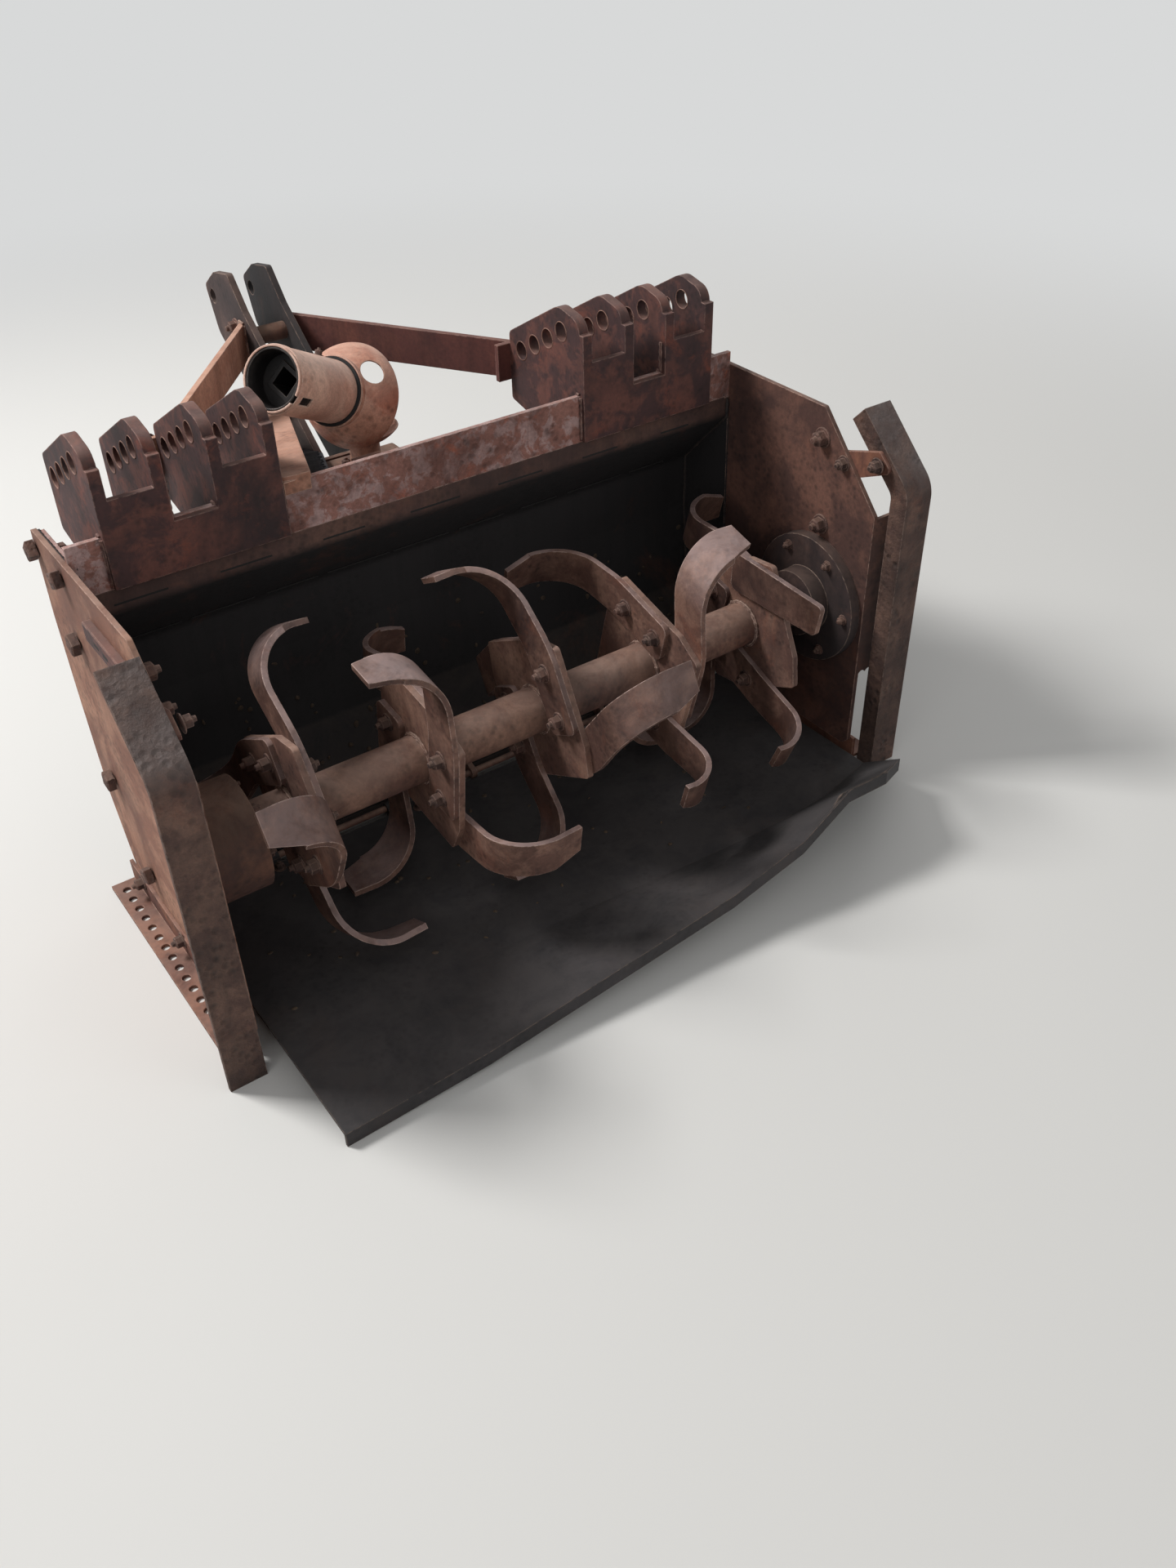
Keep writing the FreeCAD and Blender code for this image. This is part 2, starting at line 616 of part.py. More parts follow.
def blade_shape(hand, out, sweep):
    """One blade: a flat shank beside the flange, a round bend and a tip laid along x."""
    near = FLANGE_T / 2.0
    lead = -FLANGE_HALF
    trail = lead + BLADE_W
    reach = BLADE_TIP_R
    far_y = max(abs(lead + sweep), abs(trail + sweep))
    tip = math.sqrt(reach ** 2 - far_y ** 2)
    bend = min(BLADE_BEND_R, out - 14.0)
    knee = tip - bend
    inner = bend - BLADE_T
    root_out = math.sqrt(0.5)
    c_x = near + bend
    points = [
        V(near, 0, -BLADE_ROOT),
        V(near, 0, knee),
        V(c_x - bend * root_out, 0, knee + bend * root_out),
        V(c_x, 0, tip),
        V(near + out, 0, tip - 2.0),
        V(near + out, 0, tip - 2.0 - BLADE_T),
        V(c_x, 0, tip - BLADE_T),
        V(c_x - inner * root_out, 0, knee + inner * root_out),
        V(near + BLADE_T, 0, knee),
        V(near + BLADE_T, 0, -BLADE_ROOT),
    ]
    points = [V(p.x * hand, -160.0, p.z) for p in points]
    edges = [
        Part.makeLine(points[0], points[1]),
        Part.Arc(points[1], points[2], points[3]).toShape(),
        Part.makeLine(points[3], points[4]),
        Part.makeLine(points[4], points[5]),
        Part.makeLine(points[5], points[6]),
        Part.Arc(points[6], points[7], points[8]).toShape(),
        Part.makeLine(points[8], points[9]),
        Part.makeLine(points[9], points[0]),
    ]
    strip = Part.Face(Part.Wire(edges)).extrude(V(0, 260.0, 0))
    turn_z = FLANGE_HALF - FLANGE_CORNER
    slope = (sweep + 4.0) / (tip - turn_z)
    top = tip + 20.0
    side = [
        V(-200, lead, -BLADE_ROOT - 1.0),
        V(-200, trail, -BLADE_ROOT - 1.0),
        V(-200, trail, turn_z),
        V(-200, trail + slope * (top - turn_z), top),
        V(-200, lead + slope * (top - turn_z) + 8.0, top),
        V(-200, lead, turn_z),
    ]
    outline = Part.Face(rounded_wire(side, [16.0, 16.0, 90.0, 0.0, 0.0, 160.0])).extrude(V(400, 0, 0))
    worn_y = lead + (slope * (top - turn_z) + 8.0) * (tip - turn_z) / (top - turn_z)
    far_x = (near + out + 2.0) * hand
    worn = [
        V(far_x, worn_y - 40.0, tip - 40.0),
        V(far_x - WORN_ALONG * hand, worn_y - 40.0, tip - 40.0),
        V(far_x - WORN_ALONG * hand, worn_y, tip - 40.0),
        V(far_x, worn_y + WORN_IN, tip - 40.0),
    ]
    worn_corner = Part.Face(Part.makePolygon(worn + [worn[0]])).extrude(V(0, 0, 80.0))
    return strip.common(outline).cut(worn_corner)


blade_nodes = {}
flange_solids = []
for name, step, angle, hand, out, sweep in BLADES:
    piece = spin(blade_shape(hand, out, sweep), angle, step * STATION_PITCH)
    blade_nodes.setdefault(name, []).append(piece)
spent_angle, spent_off, spent_from, spent_to = SPENT_BLADE
spent_x = -FLANGE_T / 2.0 - BLADE_T
spent_outline = [
    V(spent_x, spent_off - BLADE_W / 2.0, spent_from),
    V(spent_x, spent_off + BLADE_W / 2.0, spent_from),
    V(spent_x, spent_off + BLADE_W / 2.0, spent_to),
    V(spent_x, spent_off - BLADE_W / 2.0 + 14.0, spent_to - 8.0),
]
spent_face = Part.Face(rounded_wire(spent_outline, [14.0, 14.0, 8.0, 10.0]))
spent_blade = spin(spent_face.extrude(V(BLADE_T, 0, 0)), spent_angle, 2 * STATION_PITCH)
blade_nodes["e"].append(spent_blade)
for step, flange_angle in FLANGES:
    side = FLANGE_HALF
    cut = FLANGE_CORNER
    corners = []
    for turn in range(4):
        a = math.radians(90.0 * turn)
        for along, off in ((-side + 3.0 * cut, -side), (side - cut, -side)):
            y = off * math.cos(a) + along * math.sin(a)
            z = along * math.cos(a) - off * math.sin(a)
            corners.append(V(-FLANGE_T / 2.0, y, z))
    face = Part.Face(rounded_wire(corners, [8.0] * len(corners)))
    flange = face.extrude(V(FLANGE_T, 0, 0))
    flange = flange.cut(Part.makeCylinder(ROTOR_TUBE_R, 60.0, V(-30, 0, 0), V(1, 0, 0)))
    flange_solids.append(spin(flange, flange_angle, step * STATION_PITCH))

# skids, straps and depth bars

skid_in = HALF + SKID_GAP
skid_path = [
    (SKID_TOP_Y, SKID_TOP_Z),
    (SKID_BEND_Y, SKID_BEND_Z),
    (SKID_BEND_Y, -STAND_H),
]


def skid_side():
    """Skid on the +x side: a bent sole with a flange along its inner edge."""
    sole = bent_strip(skid_path, SKID_T, 46.0, skid_in, skid_in + SKID_W)
    flange = bent_strip(skid_path, SKID_FLANGE, 22.0, skid_in, skid_in + SKID_T)
    return fuse_all([sole, flange])


skid_left_side = skid_side()
skid_right_side = mirror_x(skid_left_side)

strap_outline = [
    (-402.0, -70.0),
    (-436.0, -108.0),
    (-528.0, -66.0),
    (-498.0, -38.0),
]


def strap_side():
    """Strap that ties the skid's front to the end plate."""
    strap = plate_x(strap_outline, HALF, HALF + SKID_GAP, [8.0, 8.0, 8.0, 8.0])
    for y, z in ((-430.0, -80.0), (-503.0, -58.0)):
        strap = strap.cut(round_x(y, z, 7.0, HALF - 5.0, HALF + 20.0))
    return strap


strap_left_side = strap_side()
strap_right_side = mirror_x(strap_left_side)


def depth_bar_side():
    """Depth bar on the ground beside the end plate, an angle with a row of holes."""
    near = SKID_BEND_Y + SKID_T
    upright = block(HALF, HALF + DEPTH_BAR_T, near + SKID_FLANGE, DEPTH_BAR_FAR, -STAND_H, -STAND_H + 44.0)
    leg = block(HALF, HALF + DEPTH_BAR_W, near + SKID_FLANGE, DEPTH_BAR_FAR, -STAND_H, -STAND_H + DEPTH_BAR_T)
    tongue = block(HALF + 16.0, HALF + DEPTH_BAR_W, near, near + SKID_FLANGE + 2.0, -STAND_H, -STAND_H + DEPTH_BAR_T)
    bar = fuse_all([upright, leg, tongue])
    for i in range(DEPTH_HOLES):
        y = DEPTH_BAR_FAR - 24.0 - i * DEPTH_PITCH
        hole = Part.makeCylinder(DEPTH_HOLE_R, 30.0, V(HALF + 28.0, y, -STAND_H - 10.0), V(0, 0, 1))
        bar = bar.cut(hole)
    return bar


depth_left_side = depth_bar_side().cut(skid_left_side).cut(end_plate_left_side)
depth_right_side = mirror_x(depth_bar_side()).cut(skid_right_side).cut(end_plate_right_side)

# hood: a folded sheet behind the rotor with flanges against the end plates

hood_path = [
    (-BEAM_NEAR, beam_bottom),
    (-BEAM_NEAR, -95.0),
    (-22.5, -212.0),
    (-22.5, -312.0),
    (-36.0, -472.0),
    (-82.0, -592.0),
    (-122.0, -606.0),
]


def hood_sheet():
    """Hood sheet with its two end flanges."""
    sheet = bent_strip(hood_path, HOOD_T, 20.0, -INNER, INNER)
    pieces = [sheet]
    inner = [
        (-BEAM_NEAR - 2.0, -95.0),
        (-24.0, -212.0),
        (-24.0, -312.0),
        (-38.0, -472.0),
        (-84.0, -592.0),
        (-122.0, -605.0),
        (-150.0, -560.0),
        (-143.0, -293.0),
        (-139.0, -100.0),
    ]
    for side in (-1, 1):
        x_out = side * INNER
        x_in = side * (INNER - 4.0)
        flange = plate_x(inner, min(x_out, x_in), max(x_out, x_in))
        pieces.append(flange)
    return fuse_all(pieces)


hood = hood_sheet().cut(bearing_drum).cut(front_beam)

# flap hinge: rod and lugs on the hood's rear edge

lug_xs = [share * BODY_W for share in (-0.45, -0.25, 0.0, 0.25, 0.45)]
knuckle_xs = [share * BODY_W for share in (-0.35, -0.125, 0.125, 0.35)]
rod = round_x(HINGE_Y, HINGE_Z, HINGE_ROD_R, -HALF + 40.0, HALF - 40.0)
hinge_parts = [rod]
for x in lug_xs:
    lug_profile = [
        (HINGE_Y - 12.0, HINGE_Z - 8.0),
        (HINGE_Y - 12.0, HINGE_Z + 10.0),
        (-122.0, -603.0),
        (-92.0, -594.0),
        (-86.0, -616.0),
        (HINGE_Y + 8.0, HINGE_Z - 12.0),
    ]
    hinge_parts.append(plate_x(lug_profile, x - 5.0, x + 5.0, [6.0, 8.0, 0.0, 0.0, 6.0, 6.0]))
flap_hinge = fuse_all(hinge_parts).cut(hood)
flap_hinge = max(flap_hinge.Solids, key=lambda s: s.Volume)

# trailing flap: a sheet with a folded lip, bent up toward its left end
# x as a share of half the width, knee y, knee z, edge y, edge z (underside of the lip)
FLAP_STATIONS = [
    (-0.957, -566.0, -613.0, -746.0, -640.0),
    (-0.57, -566.0, -613.0, -746.0, -632.0),
    (-0.075, -578.0, -616.0, -745.0, -600.0),
    (0.197, -590.0, -616.0, -744.0, -582.0),
    (0.442, -598.0, -616.0, -741.0, -548.0),
    (0.617, -602.0, -612.0, -730.0, -500.0),
    (0.765, -598.0, -610.0, -726.0, -506.0),
    (0.97, -566.0, -614.0, -648.0, -582.0),
]


def flap_section(share, knee_y, knee_z, edge_y, edge_z):
    """Closed outline of the flap across its width at one x."""
    start_y = HINGE_Y - 22.0
    start_z = HINGE_Z + 2.5
    points = [
        (start_y, start_z),
        (knee_y, knee_z),
        (edge_y, edge_z + FLAP_LIP),
        (edge_y, edge_z),
        (edge_y + FLAP_T, edge_z),
        (edge_y + FLAP_T, edge_z + FLAP_LIP - FLAP_T),
        (knee_y, knee_z - FLAP_T),
        (start_y, start_z - FLAP_T),
    ]
    corners = [V(share * HALF, y, z) for y, z in points]
    return Part.makePolygon(corners + [corners[0]])


flap_wires = [flap_section(*row) for row in FLAP_STATIONS]
flap_parts = [Part.makeLoft(flap_wires, True, True)]
for x in knuckle_xs:
    barrel = round_x(HINGE_Y, HINGE_Z, KNUCKLE_R, x - KNUCKLE_LEN / 2.0, x + KNUCKLE_LEN / 2.0)
    tab = block(x - KNUCKLE_LEN / 2.0, x + KNUCKLE_LEN / 2.0, HINGE_Y - 26.0, HINGE_Y, HINGE_Z - 2.5, HINGE_Z + 2.5)
    flap_parts.append(barrel)
    flap_parts.append(tab)
flap = flap_parts[0].fuse(flap_parts[1:])
flap = flap.cut(round_x(HINGE_Y, HINGE_Z, HINGE_ROD_R + RUNNING_GAP, -600.0, 600.0))

# driveline guard: ball, tube and square drive tube, drawn along +z and then leaned over

joint_at = V(MAST_MID + 1.0, SHAFT_Y, BALL_Z)
lean_axis = V(-math.sin(math.radians(GUARD_SWING)), math.cos(math.radians(GUARD_SWING)), 0)


def lean(shape, degrees):
    """Lean a piece drawn along +z about the joint's centre and put it in place."""
    shape = shape.copy()
    shape.rotate(V(0, 0, 0), lean_axis, degrees)
    shape.translate(joint_at)
    return shape


ball_at = V(0, 0, BALL_AHEAD)
outer_ball = Part.makeSphere(BALL_R, ball_at)
hollow_ball = Part.makeSphere(BALL_R - GUARD_WALL, ball_at)
rim_z = BALL_AHEAD + BALL_RIM
keep_front = block(-200, 200, -200, 200, rim_z, 200)
bell = outer_ball.cut(hollow_ball).common(keep_front)
neck_z = BALL_AHEAD + math.sqrt(BALL_R ** 2 - GUARD_TUBE_R ** 2)
bell = bell.cut(Part.makeCylinder(GUARD_TUBE_R, 200.0, V(0, 0, 0), V(0, 0, 1)))
collar = Part.makeCylinder(GUARD_TUBE_R + 7.0, 14.0, V(0, 0, neck_z - 9.0), V(0, 0, 1))
collar = collar.cut(Part.makeCylinder(GUARD_TUBE_R, 200.0, V(0, 0, -10), V(0, 0, 1)))
collar = collar.cut(hollow_ball)
bell = fuse_all([bell, collar])
service_hole = Part.makeCylinder(SERVICE_HOLE_R, 140.0, ball_at, SERVICE_AT)
bell = bell.cut(service_hole)

tube_low = neck_z - 1.0
tube = Part.makeCylinder(GUARD_TUBE_R, GUARD_LEN - tube_low, V(0, 0, tube_low), V(0, 0, 1))
tube = tube.cut(Part.makeCylinder(GUARD_TUBE_R - GUARD_WALL, 400.0, V(0, 0, 0), V(0, 0, 1)))
slot = block(-7.0, 7.0, -80.0, 0.0, GUARD_LEN - 46.0, GUARD_LEN + 5.0)
tube = tube.cut(slot)

ring = Part.makeCylinder(GUARD_TUBE_R - GUARD_WALL, 14.0, V(0, 0, BALL_R + 2.0), V(0, 0, 1))
ring_front = Part.makeCylinder(GUARD_TUBE_R - GUARD_WALL, 10.0, V(0, 0, GUARD_LEN - 50.0), V(0, 0, 1))
half_sq = SHAFT_SQ / 2.0
half_bore = SHAFT_BORE / 2.0
square = block(-half_sq, half_sq, -half_sq, half_sq, BALL_R + 4.0, GUARD_LEN - 36.0)
yoke = Part.makeCylinder(17.0, BALL_R - 16.0, V(0, 0, 24.0), V(0, 0, 1))
eye = Part.makeCylinder(EYE_R, 2.0 * EYE_HALF, lean_axis * -EYE_HALF, lean_axis)
tongue = block(-EYE_R, EYE_R, -EYE_HALF, EYE_HALF, 0.0, 26.0)
tongue.rotate(V(0, 0, 0), V(0, 0, 1), GUARD_SWING)
shaft = fuse_all([ring, ring_front, square, yoke, eye, tongue.common(Part.makeSphere(40.0))])
shaft = shaft.cut(Part.makeCylinder(PIN_R + RUNNING_GAP, 80.0, lean_axis * -40.0, lean_axis))
shaft = shaft.cut(block(-half_bore, half_bore, -half_bore, half_bore, BALL_R + 22.0, GUARD_LEN))

guard_bell = lean(bell, GUARD_LEAN)
guard_tube = lean(tube, GUARD_LEAN)
drive_shaft = lean(shaft, GUARD_LEAN)

# fixed cup of the ball joint guard on the gearbox snout

bell_rim_r = math.sqrt((BALL_R - GUARD_WALL) ** 2 - BALL_RIM ** 2)
cup_r = math.hypot(bell_rim_r, rim_z) - GUARD_GAP - 0.5
cup = Part.makeSphere(cup_r).cut(Part.makeSphere(cup_r - GUARD_WALL))
cup_cone = Part.makeCone(0.0, 400.0 * math.tan(math.radians(CUP_HALF)), 400.0, V(0, 0, 0), V(0, 0, -1))
cup = cup.common(cup_cone)
cup.translate(joint_at)
neck = Part.makeCylinder(26.0, joint_at.z - cup_r + 6.0 - GEAR_FRONT,
                         V(joint_at.x, joint_at.y, GEAR_FRONT), V(0, 0, 1))
inside = Part.makeSphere(cup_r - GUARD_WALL)
inside.translate(joint_at)
neck = neck.cut(inside)
fork_out = EYE_HALF + FORK_GAP + FORK_T
fork_parts = [Part.makeCylinder(PIN_R, 2.0 * fork_out, lean_axis * -fork_out, lean_axis)]
for side in (-1, 1):
    start = lean_axis * (side * (EYE_HALF + FORK_GAP))
    fork_parts.append(Part.makeCylinder(EYE_R, FORK_T, start, lean_axis * side))
    arm = block(-EYE_R, EYE_R, EYE_HALF + FORK_GAP, fork_out, -40.0, 0.0)
    arm.rotate(V(0, 0, 0), V(0, 0, 1), GUARD_SWING + (0.0 if side > 0 else 180.0))
    fork_parts.append(arm)
fork_parts.append(Part.makeCylinder(fork_out + 4.0, 12.0, V(0, 0, -44.0), V(0, 0, 1)))
fork_parts.append(Part.makeCylinder(16.0, cup_r - 40.0, V(0, 0, -cup_r + 1.0), V(0, 0, 1)))
fork = fuse_all(fork_parts)
fork.translate(joint_at)
guard_cup = fuse_all([cup, neck, fork])

# write every piece

os.makedirs("parts", exist_ok=True)
save("end_plate_left", end_plate_left_side)
save("end_plate_right", end_plate_right_side)
save("front_beam", front_beam)
save("hitch_bracket_left", hitch_left_side)
save("hitch_bracket_right", hitch_right_side)
save("gearbox", gearbox)
save("gearbox_saddle", gearbox_saddle)
save("gearbox_rails", gearbox_rails)
save("mast_plate_left", mast_plate_left)
save("mast_plate_right", mast_plate_right)
save("mast_foot", mast_foot)
save("mast_brace_left", brace_left)
save("mast_brace_right", brace_right)
save("mast_strut", mast_strut)
save("mast_stay", mast_stay)
save("cross_shaft_tube", cross_tube)
save("side_drive_case", side_case)
save("bearing_drum_right", bearing_drum)
save("bearing_hub_left", bearing_hub)
save("rotor_tube", rotor_tube)
save("rotor_flanges", Part.makeCompound(flange_solids))
for name in sorted(blade_nodes):
    save("rotor_blades_" + name, Part.makeCompound(blade_nodes[name]))
save("skid_left", skid_left_side)
save("skid_right", skid_right_side)
save("skid_strap_left", strap_left_side)
save("skid_strap_right", strap_right_side)
save("depth_bar_left", depth_left_side)
save("depth_bar_right", depth_right_side)
save("hood_shell", hood)
save("flap_hinge_rod", flap_hinge)
save("trailing_flap", flap)
save("guard_bell", guard_bell)
save("guard_tube", guard_tube)
save("drive_shaft", drive_shaft)
save("guard_cup", guard_cup)
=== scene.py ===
"""Rotary tiller parked on its rear: finishes, fastenings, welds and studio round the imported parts."""

import json
import logging
import math
from dataclasses import dataclass, field
from enum import Enum
from functools import cache

import bmesh
import bpy
from mathutils import Matrix, Vector

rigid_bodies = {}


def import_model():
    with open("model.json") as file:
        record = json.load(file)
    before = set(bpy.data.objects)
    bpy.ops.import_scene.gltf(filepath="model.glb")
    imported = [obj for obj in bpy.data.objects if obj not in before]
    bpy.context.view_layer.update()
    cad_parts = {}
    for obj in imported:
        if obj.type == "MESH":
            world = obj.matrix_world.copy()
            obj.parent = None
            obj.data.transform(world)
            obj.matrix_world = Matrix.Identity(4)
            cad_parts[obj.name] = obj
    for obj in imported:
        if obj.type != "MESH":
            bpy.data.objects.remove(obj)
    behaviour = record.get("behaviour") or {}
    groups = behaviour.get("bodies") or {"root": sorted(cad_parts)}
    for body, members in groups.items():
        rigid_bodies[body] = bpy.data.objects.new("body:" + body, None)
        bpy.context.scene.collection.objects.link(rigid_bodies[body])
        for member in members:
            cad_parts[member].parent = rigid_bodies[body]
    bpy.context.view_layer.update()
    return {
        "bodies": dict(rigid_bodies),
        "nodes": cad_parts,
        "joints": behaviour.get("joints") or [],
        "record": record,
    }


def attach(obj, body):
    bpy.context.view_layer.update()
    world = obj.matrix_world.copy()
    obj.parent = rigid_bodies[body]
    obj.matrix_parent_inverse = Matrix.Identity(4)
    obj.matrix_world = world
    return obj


LOG = logging.getLogger("tiller")
MM = 0.001
# noise scale whose patches come out 1 mm wide
FINEST = 500.0
# places are in mm from the machine's middle and from the front upper corner of its end plates
STAND_Y = 76.3
STAND_H = 640.0
# outer and inner face of an end plate
HALF = 600.0
INNER = 592.0
# axes of the rotor, of the cross shaft and of the flap's hinge
ROTOR_Y = -387.0
ROTOR_Z = -347.0
SHAFT_Y = 88.0
SHAFT_Z = -187.0
HINGE_Y = -146.0
HINGE_Z = -624.0
X_AXIS = Vector((1.0, 0.0, 0.0))
Y_AXIS = Vector((0.0, 1.0, 0.0))
Z_AXIS = Vector((0.0, 0.0, 1.0))
# edge of a turned ring that is steeper than this stays sharp
SHARP = math.radians(38.0)
BACKDROP = "#d8d9d9"
# kinds of input that a recipe's sizes need
SOCKETS = {int: "NodeSocketInt", float: "NodeSocketFloat", tuple: "NodeSocketVector"}

Pair = tuple[float, float]
Triple = tuple[float, float, float]
Feed = bpy.types.Node | bpy.types.NodeSocket | float


class Body(Enum):
    """What a piece moves with."""

    FRAME = "frame"
    ROTOR = "rotor"
    FLAP = "flap"
    DRIVELINE = "driveline"


def at(x: float, y: float, z: float) -> Vector:
    """Turn a place on the machine, in mm, into the scene's metres."""
    return Vector((x * MM, (y + STAND_Y) * MM, (z + STAND_H) * MM))


def srgb(code: str) -> tuple[float, float, float, float]:
    """Turn an sRGB hex colour such as "#6b4638" into a linear one with an alpha of 1."""
    parts = [int(code[i:i + 2], 16) / 255.0 for i in (1, 3, 5)]
    return (*[c / 12.92 if c <= 0.04045 else ((c + 0.055) / 1.055) ** 2.4 for c in parts], 1.0)


def add(tree: bpy.types.NodeTree, kind: str, settings: dict | None = None) -> bpy.types.Node:
    """Add a node with its settings and links.

    Args:
        tree: node tree that takes the node.
        kind: node's type name.
        settings: attribute names, or input names or numbers, with their values. A socket is linked,
            and so is a node, by its first output.

    Returns:
        The new node.
    """
    node = tree.nodes.new(kind)
    for key, value in (settings or {}).items():
        if isinstance(value, bpy.types.Node):
            value = value.outputs[0]
        if isinstance(value, bpy.types.NodeSocket):
            tree.links.new(value, node.inputs[key])
        elif isinstance(key, str) and hasattr(node, key):
            setattr(node, key, value)
        else:
            node.inputs[key].default_value = value
    return node


def bare_mesh(name: str, points: list, edges: list, faces: list) -> bpy.types.Mesh:
    """Make a mesh that has no finish yet.

    Args:
        name: its name.
        points: its corners.
        edges: pairs of corner numbers.
        faces: rings of corner numbers.

    Returns:
        The mesh.
    """
    mesh = bpy.data.meshes.new(name)
    mesh.from_pydata([tuple(point) for point in points], edges, faces)
    return mesh


def placed(name: str, data: bpy.types.ID) -> bpy.types.Object:
    """Put a mesh, a lamp or a camera in the scene.

    Args:
        name: the object's name.
        data: what it shows.

    Returns:
        The object, at the origin.
    """
    thing = bpy.data.objects.new(name, data)
    bpy.context.scene.collection.objects.link(thing)
    return thing


class Coat:
    """Material in the making, and the colour that has been laid on it so far."""

    def __init__(self, name: str, base: str) -> None:
        """Start an empty material.

        Args:
            name: the material's name.
            base: colour that lies lowest.
        """
        self.material = bpy.data.materials.new(name)
        self.material.use_nodes = True
        self.material.node_tree.nodes.clear()
        self.where = self.add("ShaderNodeTexCoord").outputs["Object"]
        self.colour = srgb(base)

    def add(self, kind: str, settings: dict | None = None) -> bpy.types.Node:
        """Add a node to this material."""
        return add(self.material.node_tree, kind, settings)

    def cloud(self, size_mm: float, detail: float, rough: float, low: float, high: float) -> bpy.types.Node:
        """Noise of a real size, pulled to a mask.

        Args:
            size_mm: how wide a patch is.
            detail: octaves of the noise.
            rough: how strong the small octaves are.
            low: noise value that gives 0.
            high: noise value that gives 1.

        Returns:
            Mask from 0 to 1.
        """
        noise = self.add("ShaderNodeTexNoise", {
            "Scale": FINEST / size_mm, "Detail": detail, "Roughness": rough, "Distortion": 0.5,
            "Vector": self.where})
        return self.add("ShaderNodeMapRange", {"From Min": low, "From Max": high, "Value": noise})

    def lay(self, over: str, *masks: Feed) -> None:
        """Lay a colour over the others, as far as all the masks let it show.

        Args:
            over: the colour.
            masks: numbers or masks that are multiplied.
        """
        share = masks[0]
        for mask in masks[1:]:
            share = self.add("ShaderNodeMath", {"operation": "MULTIPLY", 0: share, 1: mask})
        both = self.add("ShaderNodeMix", {"data_type": "RGBA", 0: share, 6: self.colour, 7: srgb(over)})
        self.colour = both.outputs[2]

    def darken(self, amount: Feed, low: float, high: float = 1.0) -> None:
        """Scale the colour from low to high as the amount goes from 0 to 1."""
        scale = self.add("ShaderNodeMapRange", {"To Min": low, "To Max": high, "Value": amount})
        self.colour = self.add("ShaderNodeVectorMath", {"operation": "SCALE", 0: self.colour, "Scale": scale})

    def done(self, shader: bpy.types.Node) -> bpy.types.Material:
        """Join the shader to the output and hand the material over."""
        self.add("ShaderNodeOutputMaterial", {"Surface": shader})
        return self.material


class Surface(Enum):
    """How a finish has aged, which sets its relief."""

    PAINTED = 0.55
    SCOURED = 0.9
    SCALED = 1.5
    CAST = 1.1
    OILY = 0.35


